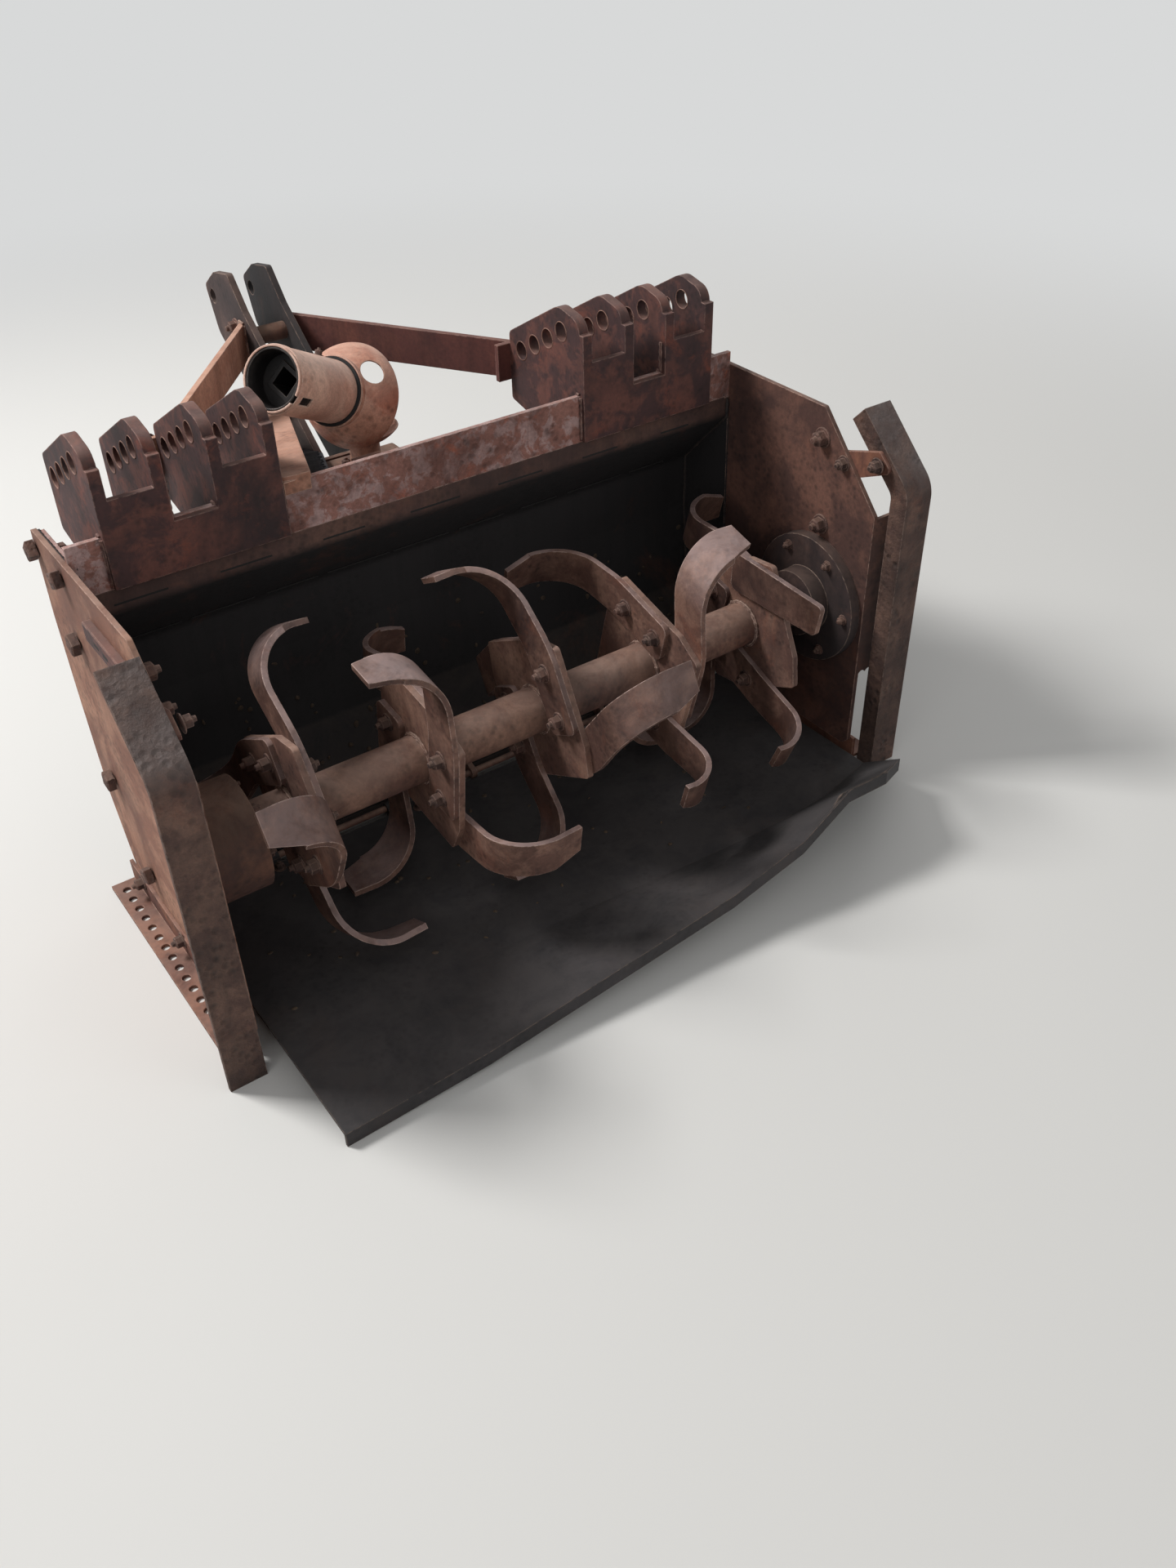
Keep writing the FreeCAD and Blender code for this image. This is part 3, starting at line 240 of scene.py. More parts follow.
@dataclass(frozen=True)
class RustFinish:
    """Steel gone to rust, under what is left of its paint and a coat of field dust.

    Rust grows in patches 12 to 120 mm wide with a grain of 1 to 4 mm, drawn no finer than shows;
    water has left darker runs down the sides, thin edges are rubbed lighter, and what faces up
    is paler, both from settled dust and as painted top light.
    """

    name: str
    base: str
    patch: str
    deep: str
    edge: str
    # colour of what faces up: settled dust, and painted top light as well
    dust: str
    bloom: str
    surface: Surface = Surface.PAINTED
    patch_mm: float = 55.0
    patch_blur: float = 0.07
    grain_mm: float = 2.4
    pit_mm: float = 6.0
    pit_depth_mm: float = 0.7
    dust_and_top_light_amount: float = 0.45
    bloom_amount: float = 0.35
    streak_amount: float = 0.5
    streak_scale: Triple = (38.0, 38.0, 2.6)
    edge_mm: float = 2.5
    ragged_mm: float = 6.0
    drift_mm: float = 36.0
    roughness: float = 0.82
    metallic: float = 0.0
    # colour of soil and painted shade on the face that the rotor throws soil at
    soil_and_shade: str = ""
    soil_and_shade_top_mm: float = 549.0
    soil_and_shade_blur_mm: float = 8.0
    soil_and_shade_wave_mm: float = 12.0

    def build(self) -> bpy.types.Material:
        """Make the material.

        Returns:
            Node material that reads Object coordinates.
        """
        coat = Coat(self.name, self.base)
        patches = coat.cloud(self.patch_mm, 7.0, 0.66, 0.51 - self.patch_blur, 0.51 + self.patch_blur)
        shades = coat.cloud(self.patch_mm * 4.0, 5.0, 0.7, 0.44, 0.68)
        blooms = coat.cloud(self.patch_mm * 1.7, 8.0, 0.74, 0.55, 0.72)
        gates = coat.cloud(self.patch_mm * 1.3, 3.0, 0.5, 0.42, 0.58)
        grain = coat.add("ShaderNodeTexNoise", {
            "Scale": FINEST / self.grain_mm, "Detail": 4.0, "Roughness": 0.72, "Vector": coat.where})
        pits = self.pits(coat, gates)
        coat.lay(self.patch, patches)
        coat.lay(self.deep, shades)
        # soil, and painted shade, on the inner face of the hood below a ragged line
        if self.soil_and_shade:
            coat.lay(self.soil_and_shade, *self.soil_and_shade_side(coat, shades))
        coat.lay(self.bloom, blooms, self.bloom_amount)
        coat.darken(self.streaks(coat), 1.0 - 0.45 * self.streak_amount)
        coat.darken(grain, 0.42, 1.55)
        coat.darken(pits, 0.5)
        soft = coat.add("ShaderNodeBevel", {"samples": 4, "Radius": self.edge_mm * MM})
        true = coat.add("ShaderNodeNewGeometry")
        coat.lay(self.edge, *self.rubbed(coat, soft, true))
        # what faces up is paler: dust, and painted top light
        coat.lay(self.dust, *self.dust_and_top_light(coat, true))
        return self.shaded(coat, grain, pits, soft)

    def pits(self, coat: Coat, gates: Feed) -> bpy.types.Node:
        """Round pits that rust has eaten, only inside some areas; 1 is sound metal.

        Args:
            coat: the material.
            gates: mask of the areas.

        Returns:
            Mask from 0 to 1.
        """
        cells = coat.add("ShaderNodeTexVoronoi", {"Scale": FINEST / self.pit_mm, "Vector": coat.where})
        bowl = coat.add("ShaderNodeMapRange", {"From Min": 0.05, "From Max": 0.5, "Value": cells})
        return coat.add("ShaderNodeMix", {"data_type": "FLOAT", 0: gates, 2: 1.0, 3: bowl})

    def streaks(self, coat: Coat) -> bpy.types.Node:
        """Rain marks that run down as the machine stands, 10 to 25 mm wide; 1 is clean.

        Args:
            coat: the material.

        Returns:
            Mask from 0 to 1.
        """
        drawn = coat.add("ShaderNodeMapping", {"Scale": self.streak_scale, "Vector": coat.where})
        run = coat.add("ShaderNodeTexNoise", {
            "Scale": 1.0, "Detail": 5.0, "Roughness": 0.62, "Vector": drawn})
        return coat.add("ShaderNodeMapRange", {"From Min": 0.40, "From Max": 0.56, "Value": run})

    def soil_and_shade_side(self, coat: Coat, shades: Feed) -> tuple[bpy.types.Node, bpy.types.Node]:
        """Find the face that the rotor throws soil at, up to a ragged line; it is darkened there both for
        soil and as painted shade.

        Args:
            coat: the material.
            shades: broad noise that makes the line ragged.

        Returns:
            Masks of that face and of what lies below the line.
        """
        facing = coat.add("ShaderNodeSeparateXYZ", {0: coat.add("ShaderNodeNewGeometry").outputs["Normal"]})
        front = coat.add("ShaderNodeMapRange", {
            "From Min": 0.35, "From Max": 0.1, "Value": facing.outputs["Y"]})
        height = coat.add("ShaderNodeSeparateXYZ", {0: coat.where})
        uneven = coat.add("ShaderNodeMath", {
            "operation": "MULTIPLY_ADD", 0: shades, 1: self.soil_and_shade_wave_mm * MM, 2: height.outputs["Z"]})
        top, blur = self.soil_and_shade_top_mm * MM, self.soil_and_shade_blur_mm * MM
        line = coat.add("ShaderNodeMapRange", {
            "From Min": top + blur, "From Max": top - blur, "Value": uneven})
        return front, line

    def rubbed(self, coat: Coat, soft: bpy.types.Node, true: bpy.types.Node) -> tuple[Feed, Feed]:
        """Find the rubbed edges, where the rounded normal leaves the true one.

        Args:
            coat: the material.
            soft: node of the rounded normal.
            true: node of the true one.

        Returns:
            Masks of the edges and of their worn places.
        """
        turn = coat.add("ShaderNodeVectorMath", {
            "operation": "DOT_PRODUCT", 0: soft, 1: true.outputs["True Normal"]})
        rub = coat.add("ShaderNodeMapRange", {
            "From Min": 0.985, "From Max": 0.86, "Value": turn.outputs["Value"]})
        return rub, coat.cloud(self.ragged_mm, 3.0, 0.6, 0.36, 0.56)

    def dust_and_top_light(self, coat: Coat, true: bpy.types.Node) -> tuple[Feed, Feed]:
        """Find the dust and the painted top light, both thicker on what faces up, with the dust drifted in
        patches.

        Args:
            coat: the material.
            true: node of the normal.

        Returns:
            Masks of what faces up and of the drifts.
        """
        up = coat.add("ShaderNodeSeparateXYZ", {0: true.outputs["Normal"]})
        up_dust_and_light = coat.add("ShaderNodeMapRange", {
            "From Min": 0.1, "From Max": 0.9, "To Max": self.dust_and_top_light_amount, "Value": up.outputs["Z"]})
        return up_dust_and_light, coat.cloud(self.drift_mm, 7.0, 0.68, 0.30, 0.58)

    def shaded(self, coat: Coat, grain: Feed, pits: Feed, soft: Feed) -> bpy.types.Material:
        """Give the laid colours their relief and their gloss.

        Args:
            coat: the material.
            grain: fine noise.
            pits: mask of the pits.
            soft: rounded normal.

        Returns:
            The finished material.
        """
        lumps = coat.add("ShaderNodeTexNoise", {
            "Scale": FINEST / self.pit_mm, "Detail": 3.0, "Roughness": 0.6, "Vector": coat.where})
        relief = coat.add("ShaderNodeMath", {"operation": "MULTIPLY_ADD", 0: grain, 1: 0.45, 2: pits})
        relief = coat.add("ShaderNodeMath", {"operation": "MULTIPLY_ADD", 0: lumps, 1: 0.8, 2: relief})
        bump = coat.add("ShaderNodeBump", {
            "Strength": min(1.0, 0.75 * self.surface.value + 0.2),
            "Distance": self.pit_depth_mm * self.surface.value * MM, "Height": relief, "Normal": soft})
        rough = coat.add("ShaderNodeMapRange", {
            "To Min": self.roughness - 0.16, "To Max": min(1.0, self.roughness + 0.12), "Value": grain})
        return coat.done(coat.add("ShaderNodeBsdfPrincipled", {
            "Metallic": self.metallic, "Base Color": coat.colour, "Roughness": rough, "Normal": bump}))


@dataclass(frozen=True)
class DarkFinish:
    """Black of painted shade in a slit, or of a worn rubber face: no gloss, only a faint mottle."""

    name: str
    tone: str = "#100e0e"
    grey: str = "#1d1a19"
    roughness: float = 0.9
    mottle_scale: float = 60.0

    def build(self) -> bpy.types.Material:
        """Make the material.

        Returns:
            Node material that reads Object coordinates.
        """
        coat = Coat(self.name, self.tone)
        coat.lay(self.grey, coat.add("ShaderNodeTexNoise", {
            "Scale": self.mottle_scale, "Detail": 6.0, "Vector": coat.where}))
        return coat.done(coat.add("ShaderNodeBsdfPrincipled", {
            "Base Color": coat.colour, "Roughness": self.roughness}))


@dataclass(frozen=True)
class FloorFinish:
    """Plain pale studio floor, matte, that runs into the backdrop a few metres away from the machine."""

    name: str = "studio_floor"
    tone: str = "#d3d1cd"
    fade_from: float = 1.7
    fade_to: float = 4.2

    def build(self) -> bpy.types.Material:
        """Make the floor's material.

        Returns:
            Material that shows the backdrop's colour to the camera far from the machine.
        """
        coat = Coat(self.name, self.tone)
        matte = coat.add("ShaderNodeBsdfPrincipled", {"Base Color": coat.colour, "Roughness": 0.9})
        plain = coat.add("ShaderNodeEmission", {"Color": srgb(BACKDROP), "Strength": 1.0})
        reach = coat.add("ShaderNodeVectorMath", {"operation": "LENGTH", 0: coat.where})
        away = coat.add("ShaderNodeMapRange", {
            "interpolation_type": "SMOOTHSTEP", "From Min": self.fade_from, "From Max": self.fade_to,
            "Value": reach.outputs["Value"]})
        seen = coat.add("ShaderNodeLightPath").outputs["Is Camera Ray"]
        part = coat.add("ShaderNodeMath", {"operation": "MULTIPLY", 0: away, 1: seen})
        return coat.done(coat.add("ShaderNodeMixShader", {0: part, 1: matte, 2: plain}))


FINISHES = {
    # plate whose paint has gone: red-brown rust, paler where the sun has dried it
    "rusted_plate": RustFinish(
        "rusted_mild_steel_plate", "#5f3b31", "#80533f", "#391f1b", "#b18c7b", "#a07f70", bloom="#8c4d33"),
    # end plate that stands in shade: the same steel, mottled, with a thin film of dust, darkened as painted
    # shade
    "end_plate": RustFinish(
        "end_plate_painted_shade", "#4b312a", "#68463a", "#2c1b19", "#b39080", "#957a6c", bloom="#744029",
        streak_amount=0.2, patch_mm=60.0, patch_blur=0.055),
    # end plate toward the sun: the same steel, lifted to a paler tan as painted sunlight
    "end_plate_painted_sunlit": RustFinish(
        "end_plate_painted_sunlight", "#7b5241", "#986f5a", "#4d3029", "#bd9b8a", "#ab8f7f", bloom="#94552f",
        streak_amount=0.25, patch_mm=60.0, patch_blur=0.055),
    # bracket plates: plum brown, darkened as painted shade, with orange where the rust is fresh
    "bracket_plate": RustFinish(
        "plum_rust_bracket_painted_shade", "#402726", "#5f3931", "#261617", "#a08074", "#8a6a5f", bloom="#8a4630",
        bloom_amount=0.55, patch_mm=24.0, patch_blur=0.045, dust_and_top_light_amount=0.4, streak_amount=0.25),
    # angle that carries the hitch: thick flaking scale, pale in its high spots, its base lifted paler in part
    # as painted sunlight
    "scaled_beam": RustFinish(
        "flaking_rust_scale_painted_sunlit", "#91655a", "#a88a85", "#5d3b33", "#d2b6ab", "#bda39c", bloom="#a05236",
        surface=Surface.SCALED, patch_mm=15.0, patch_blur=0.03, grain_mm=3.6, pit_mm=7.0, pit_depth_mm=1.6,
        bloom_amount=0.75, streak_amount=0.2),
    # mast plate in shade: dark paint, darkened to nearly black as painted shade, its edges dusted brown
    "mast_black": RustFinish(
        "mast_paint_painted_shade", "#1e191b", "#2c2322", "#131012", "#866e60", "#4c3e36", bloom="#573527",
        dust_and_top_light_amount=0.2, patch_mm=60.0),
    # mast plate that faces the sun: the same paint under brown dust, lifted paler as painted sunlight
    "mast_dust_and_sunlight": RustFinish(
        "mast_paint_dust_and_painted_sunlight", "#3a2b29", "#523e38", "#221a1b", "#a48b7b", "#6f5b50", bloom="#6a4130",
        dust_and_top_light_amount=0.35, patch_mm=50.0),
    # long brace in half shade: red-brown primer, darkened as painted half shade
    "primer_brown": RustFinish(
        "red_oxide_primer_painted_shade", "#5c322c", "#6e4036", "#3d2220", "#9c7a6c", "#85665a", bloom="#7a4632",
        dust_and_top_light_amount=0.4, patch_mm=120.0),
    # short brace that the sun falls on: tan rust, lifted paler as painted sunlight
    "bar_painted_sunlit": RustFinish(
        "bar_rust_painted_sunlight", "#a5735c", "#bd8e76", "#7c5141", "#d0ab98", "#c29d8a", bloom="#97553a",
        dust_and_top_light_amount=0.5, patch_mm=60.0),
    # thin sheet of the hood, dark inside with caked soil and painted shade
    "hood_sheet": RustFinish(
        "old_rusted_sheet", "#46302b", "#5d4238", "#2c1d1b", "#8a6e61", "#7d685c", bloom="#7a4530",
        dust_and_top_light_amount=0.3, patch_mm=70.0, soil_and_shade="#1b1718"),
    # flap that the soil has lain on: an even dark grey film, darkened further as painted shade
    "flap_sheet": RustFinish(
        "soil_film_sheet_painted_shade", "#2a2728", "#353132", "#1f1c1e", "#7a6659", "#4a4442", bloom="#45362f",
        dust_and_top_light_amount=0.4, patch_mm=60.0, streak_amount=0.25),
    # tiller blades, forged and once scoured bright, now an even pinkish brown; the lilac-pink laid on what
    # faces up is dust and painted sky reflection
    "worn_blade": RustFinish(
        "forged_blade_rust", "#5f4238", "#7d5d4f", "#3a2621", "#c4a89b", "#b09a96", bloom="#8a5038",
        surface=Surface.SCOURED, patch_mm=30.0, grain_mm=2.0, metallic=0.15, roughness=0.7,
        streak_amount=0.2),
    # turned tube of the rotor
    "rotor_steel": RustFinish(
        "rotor_tube_rust", "#6c4b3f", "#8c6958", "#402a25", "#b39384", "#a98d7e", bloom="#8c4f35",
        surface=Surface.SCOURED, patch_mm=40.0, streak_amount=0.3),
    # skids: brown on their sides and pitted where the soil has polished them, grey on what faces up from dust
    # and painted top light
    "skid_steel": RustFinish(
        "soil_scoured_skid", "#4c362f", "#644b40", "#30211c", "#917b70", "#6a605d", bloom="#7b4a36",
        surface=Surface.SCALED, patch_mm=28.0, pit_mm=7.0, pit_depth_mm=2.4, metallic=0.1,
        dust_and_top_light_amount=0.85),
    # castings of gearbox and bearings: sand skin under rust
    "gear_iron": RustFinish(
        "grey_iron_casting", "#4c3129", "#684536", "#2b1d19", "#8c6c5c", "#8f7361", bloom="#7b452f",
        surface=Surface.CAST, grain_mm=3.5, pit_mm=7.0),
    # guard: chalked paint, pink where the sun falls on it, worn through to orange rust in places
    "guard_paint": RustFinish(
        "chalked_guard_paint", "#bf8a73", "#a4654e", "#7a3e2e", "#dcbfae", "#cfac98", bloom="#8e452e",
        patch_mm=45.0, patch_blur=0.05, grain_mm=1.8, pit_depth_mm=0.4, dust_and_top_light_amount=0.4, roughness=0.62,
        streak_amount=0.3, bloom_amount=0.85),
    # tube of the guard: the same paint, lifted paler as painted sunlight
    "guard_tube_paint": RustFinish(
        "guard_paint_painted_sunlight", "#d3a893", "#bd8b76", "#96604f", "#e0c8b9", "#d6bbaa", bloom="#a05c44",
        patch_mm=70.0, grain_mm=1.8, pit_depth_mm=0.25, roughness=0.62, streak_amount=0.3,
        bloom_amount=0.4),
    # splined and square steel inside the guard, still greasy
    "drive_steel": RustFinish(
        "greasy_dark_steel", "#1c1a1a", "#272323", "#110f10", "#6a5f58", "#3d3733", bloom="#3a2a22",
        surface=Surface.OILY, metallic=0.4, roughness=0.5, dust_and_top_light_amount=0.2),
    # nuts and bolt heads: darker and coarser than the plate they hold
    "bolt_rust": RustFinish(
        "rusted_bolt_steel", "#47302a", "#63443a", "#291b18", "#8f7265", "#7c6355", bloom="#7b452f",
        surface=Surface.CAST, patch_mm=12.0, grain_mm=1.6, pit_mm=3.0),
    # weld metal: ripples with a brighter crown
    "weld_rust": RustFinish(
        "rusted_weld_bead", "#5f4035", "#7c5a4a", "#3a2520", "#b3978a", "#98806f", bloom="#8c4d33",
        surface=Surface.CAST, patch_mm=14.0, grain_mm=1.6, pit_mm=3.5),
    # weld metal inside the hood, under a crust of old soil and darkened as painted shade
    "weld_soil_and_shade": RustFinish(
        "weld_soil_and_painted_shade", "#1f1a1a", "#2c2423", "#141112", "#43362f", "#352c28", bloom="#3a2820",
        surface=Surface.CAST, patch_mm=14.0, grain_mm=1.6, dust_and_top_light_amount=0.2),
    # loose soil that has dried in corners
    "dry_soil": RustFinish(
        "dried_soil", "#42352b", "#544435", "#2e241c", "#665545", "#5f4f40", bloom="#57442f",
        surface=Surface.SCALED, patch_mm=16.0, grain_mm=2.0, dust_and_top_light_amount=0.2, roughness=0.95),
    # painted shade at the bottom of a slit or in a shadow gap
    "slit_painted_shade": DarkFinish("shadowed_slit"),
    # ribbed rubber, cracked and dusty
    "old_rubber": DarkFinish("perished_rubber", "#17171a", "#2b2c31", 0.72),
}

NODE_FINISH = {
    "front_beam": "scaled_beam",
    "end_plate_left": "end_plate",
    "end_plate_right": "end_plate_painted_sunlit",
    "hitch_bracket_left": "bracket_plate",
    "hitch_bracket_right": "bracket_plate",
    "mast_plate_left": "mast_black",
    "mast_plate_right": "mast_dust_and_sunlight",
    "mast_foot": "gear_iron",
    "mast_brace_left": "primer_brown",
    "mast_brace_right": "bar_painted_sunlit",
    "mast_strut": "bar_painted_sunlit",
    "mast_stay": "old_rubber",
    "bearing_drum_right": "gear_iron",
    "bearing_hub_left": "mast_dust_and_sunlight",
    "guard_tube": "guard_tube_paint",
    "trailing_flap": "flap_sheet",
}


@cache
def material(name: str) -> bpy.types.Material:
    """Give the material of a finish, built on its first use."""
    return FINISHES[name].build()


@dataclass(frozen=True)
class Piece:
    """A piece that is added here: its name, what it moves with, its slot in the record and its finish."""

    name: str
    body: Body
    slot: str
    finish: str

    def stand(self, mesh: bpy.types.Mesh) -> None:
        """Put the piece in the scene, tie it to its body, and say so.

        Args:
            mesh: its finished mesh.
        """
        mesh.name = self.name
        thing = placed(self.name, mesh)
        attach(thing, self.body.value)
        LOG.info("%s: %d faces on %s", self.name, len(mesh.polygons), self.body.value)

    def close(self, points: list[Vector], faces: list[tuple[int, ...]]) -> bpy.types.Mesh:
        """Make a closed skin whose faces point outward.

        Args:
            points: its corners.
            faces: rings of corner numbers.

        Returns:
            The mesh, in the piece's finish.
        """
        mesh = bare_mesh(self.name, points, [], faces)
        shape = bmesh.new()
        shape.from_mesh(mesh)
        bmesh.ops.recalc_face_normals(shape, faces=shape.faces)
        shape.to_mesh(mesh)
        shape.free()
        mesh.materials.append(material(self.finish))
        return mesh

    def turn(self, profile: list[Pair], matrix: Matrix, segments: int) -> None:
        """Turn a closed profile round its z axis into a ring.

        Args:
            profile: (radius, height) corners in mm, in order round the section.
            matrix: where the ring goes, from mm to the scene.
            segments: how many steps make the turn.
        """
        count = len(profile)
        angles = [2.0 * math.pi * step / segments for step in range(segments)]
        points = [matrix @ Vector((r * math.cos(a), r * math.sin(a), h)) for a in angles for r, h in profile]
        faces = []
        for step in range(segments):
            here, after = step * count, (step + 1) % segments * count
            for i in range(count):
                k = (i + 1) % count
                faces.append((here + i, here + k, after + k, after + i))
        mesh = self.close(points, faces)
        mesh.shade_smooth()
        mesh.set_sharp_from_angle(angle=SHARP)
        self.stand(mesh)

    def draw_out(self, near: list[Vector], far: list[Vector]) -> None:
        """Draw a closed section out into a bar.

        Args:
            near: corners of the section at one end, in order.
            far: the same corners at the other end.
        """
        n = len(near)
        faces = [tuple(range(n)), tuple(range(2 * n - 1, n - 1, -1))]
        faces += [(i, (i + 1) % n, n + (i + 1) % n, n + i) for i in range(n)]
        self.stand(self.close(near + far, faces))


class Recipe:
    """Geometry Nodes tree with named sizes, run on a seed mesh and kept as a plain mesh."""

    def __init__(self, name: str, **sizes: int | float | Triple) -> None:
        """Make the tree with its inputs.

        Args:
            name: name of the tree.
            sizes: its inputs and their usual values.
        """
        self.sizes = sizes
        self.tree = bpy.data.node_groups.new(name, "GeometryNodeTree")
        ends = self.tree.interface
        ends.new_socket("Geometry", in_out="INPUT", socket_type="NodeSocketGeometry")
        self.ids: dict[str, str] = {}
        for label, value in sizes.items():
            socket = ends.new_socket(label, in_out="INPUT", socket_type=SOCKETS[type(value)])
            socket.default_value = value
            self.ids[label] = socket.identifier
        paint = ends.new_socket("Finish", in_out="INPUT", socket_type="NodeSocketMaterial")
        self.ids["Finish"] = paint.identifier
        ends.new_socket("Geometry", in_out="OUTPUT", socket_type="NodeSocketGeometry")
        self.inlet = self.tree.nodes.new("NodeGroupInput").outputs

    def add(self, kind: str, settings: dict | None = None) -> bpy.types.Node:
        """Add a node to this tree."""
        return add(self.tree, kind, settings)

    def lifted(self, shape: bpy.types.Node, lift: Feed) -> bpy.types.Node:
        """Raise a shape along z."""
        by = self.add("ShaderNodeCombineXYZ", {"Z": lift})
        return self.add("GeometryNodeTransform", {"Geometry": shape, "Translation": by})

    def about_z(self, base: Feed, seed: int) -> bpy.types.Node:
        """Turn each copy about its own z axis by chance.

        Args:
            base: the way its z axis points.
            seed: seed of the chance.

        Returns:
            The turned rotation.
        """
        turn = self.add("FunctionNodeRandomValue", {"data_type": "FLOAT", 2: 0.0, 3: 6.28, "Seed": seed})
        about = self.add("FunctionNodeAxisAngleToRotation", {"Axis": Z_AXIS, "Angle": turn.outputs[1]})
        return self.add("FunctionNodeRotateRotation", {
            "rotation_space": "LOCAL", "Rotation": base, "Rotate By": about})

    def end(self, shape: bpy.types.Node) -> None:
        """Close the tree: realise the copies and give them their finish.

        Args:
            shape: what the tree has made.
        """
        real = self.add("GeometryNodeRealizeInstances", {"Geometry": shape})
        paint = self.add("GeometryNodeSetMaterial", {"Geometry": real, "Material": self.inlet["Finish"]})
        self.add("NodeGroupOutput", {0: paint})

    def bake(self, piece: Piece, seed: bpy.types.Mesh, **values: int | float | Triple) -> None:
        """Run the tree and keep its result as a plain mesh at the origin.

        Args:
            piece: what the result becomes.
            seed: mesh that the tree starts from.
            values: sizes that differ from the usual ones.
        """
        carrier = placed(piece.name + "_seed", seed)
        modifier = carrier.modifiers.new("recipe", "NODES")
        modifier.node_group = self.tree
        for label, value in {**self.sizes, **values, "Finish": material(piece.finish)}.items():
            modifier[self.ids[label]] = value
        bpy.context.view_layer.update()
        graph = bpy.context.evaluated_depsgraph_get()
        mesh = bpy.data.meshes.new_from_object(carrier.evaluated_get(graph), preserve_all_data_layers=True,
                                               depsgraph=graph)
        carrier.modifiers.remove(modifier)
        bpy.data.objects.remove(carrier)
        piece.stand(mesh)


@dataclass(frozen=True)
class Fixing:
    """One bolt head or nut: where it sits, the way it faces and its size across the flats in mm."""

    place: Vector
    toward: Vector
    flats: float


class FixingRecipe(Recipe):
    """Bolt head with washer, chamfer and a stud's end, set on points; sizes are shares of the flats."""

    washer_thick = 0.10
    sunk = 0.002
    chamfer = 0.07

    def __init__(self, sides: int = 6, head: float = 0.62, washer: float = 0.82, stud: float = 0.34) -> None:
        """Build the tree.

        Args:
            sides: corners of the head.
            head: its height.
            washer: radius of the washer.
            stud: length of the stud's end.
        """
        super().__init__("bolt_head_%d" % sides, Sides=sides, Head=head, Washer=washer, Stud=stud)
        corner = 0.5 / math.cos(math.pi / sides)
        wide, tall, many = self.inlet["Washer"], self.inlet["Head"], self.inlet["Sides"]
        top = self.add("ShaderNodeMath", {"operation": "ADD", 0: tall, 1: self.washer_thick})
        tip = self.add("ShaderNodeMath", {"operation": "ADD", 0: top, 1: self.chamfer - 0.01})
        narrow = self.add("ShaderNodeMath", {"operation": "MULTIPLY", 0: wide, 1: 0.94})
        whole = self.add("GeometryNodeJoinGeometry")
        # washer, head, its chamfer and the stud: corners, height, lower and upper radius, and where it starts
        for count, depth, low, high, start in ((16, self.washer_thick, wide, narrow, 0.0),
                                               (many, tall, corner, corner, self.washer_thick - self.sunk),
                                               (many, self.chamfer, corner, corner * 0.80, top),
                                               (10, self.inlet["Stud"], 0.29, 0.23, tip)):
            part = self.add("GeometryNodeMeshCone", {
                "Vertices": count, "Depth": depth, "Radius Bottom": low, "Radius Top": high})
            self.tree.links.new(self.lifted(part, start).outputs[0], whole.inputs[0])
        toward = self.add("GeometryNodeInputNamedAttribute", {"data_type": "FLOAT_VECTOR", "Name": "toward"})
        flats = self.add("GeometryNodeInputNamedAttribute", {"data_type": "FLOAT", "Name": "flats"})
        aim = self.add("FunctionNodeAlignRotationToVector", {"axis": "Z", "Vector": toward})
        self.end(self.add("GeometryNodeInstanceOnPoints", {
            "Points": self.inlet["Geometry"], "Instance": whole, "Rotation": self.about_z(aim, 7),
            "Scale": flats}))

    def make(self, piece: Piece, rows: list[Fixing]) -> None:
        """Set fixings.

        Args:
            piece: what they become together.
            rows: the fixings.
        """
        seed = bare_mesh(piece.name + "_points", [row.place for row in rows], [], [])
        facing = seed.attributes.new("toward", "FLOAT_VECTOR", "POINT")
        facing.data.foreach_set("vector", [c for row in rows for c in row.toward.normalized()])
        size = seed.attributes.new("flats", "FLOAT", "POINT")
        size.data.foreach_set("value", [row.flats * MM for row in rows])
        self.bake(piece, seed)


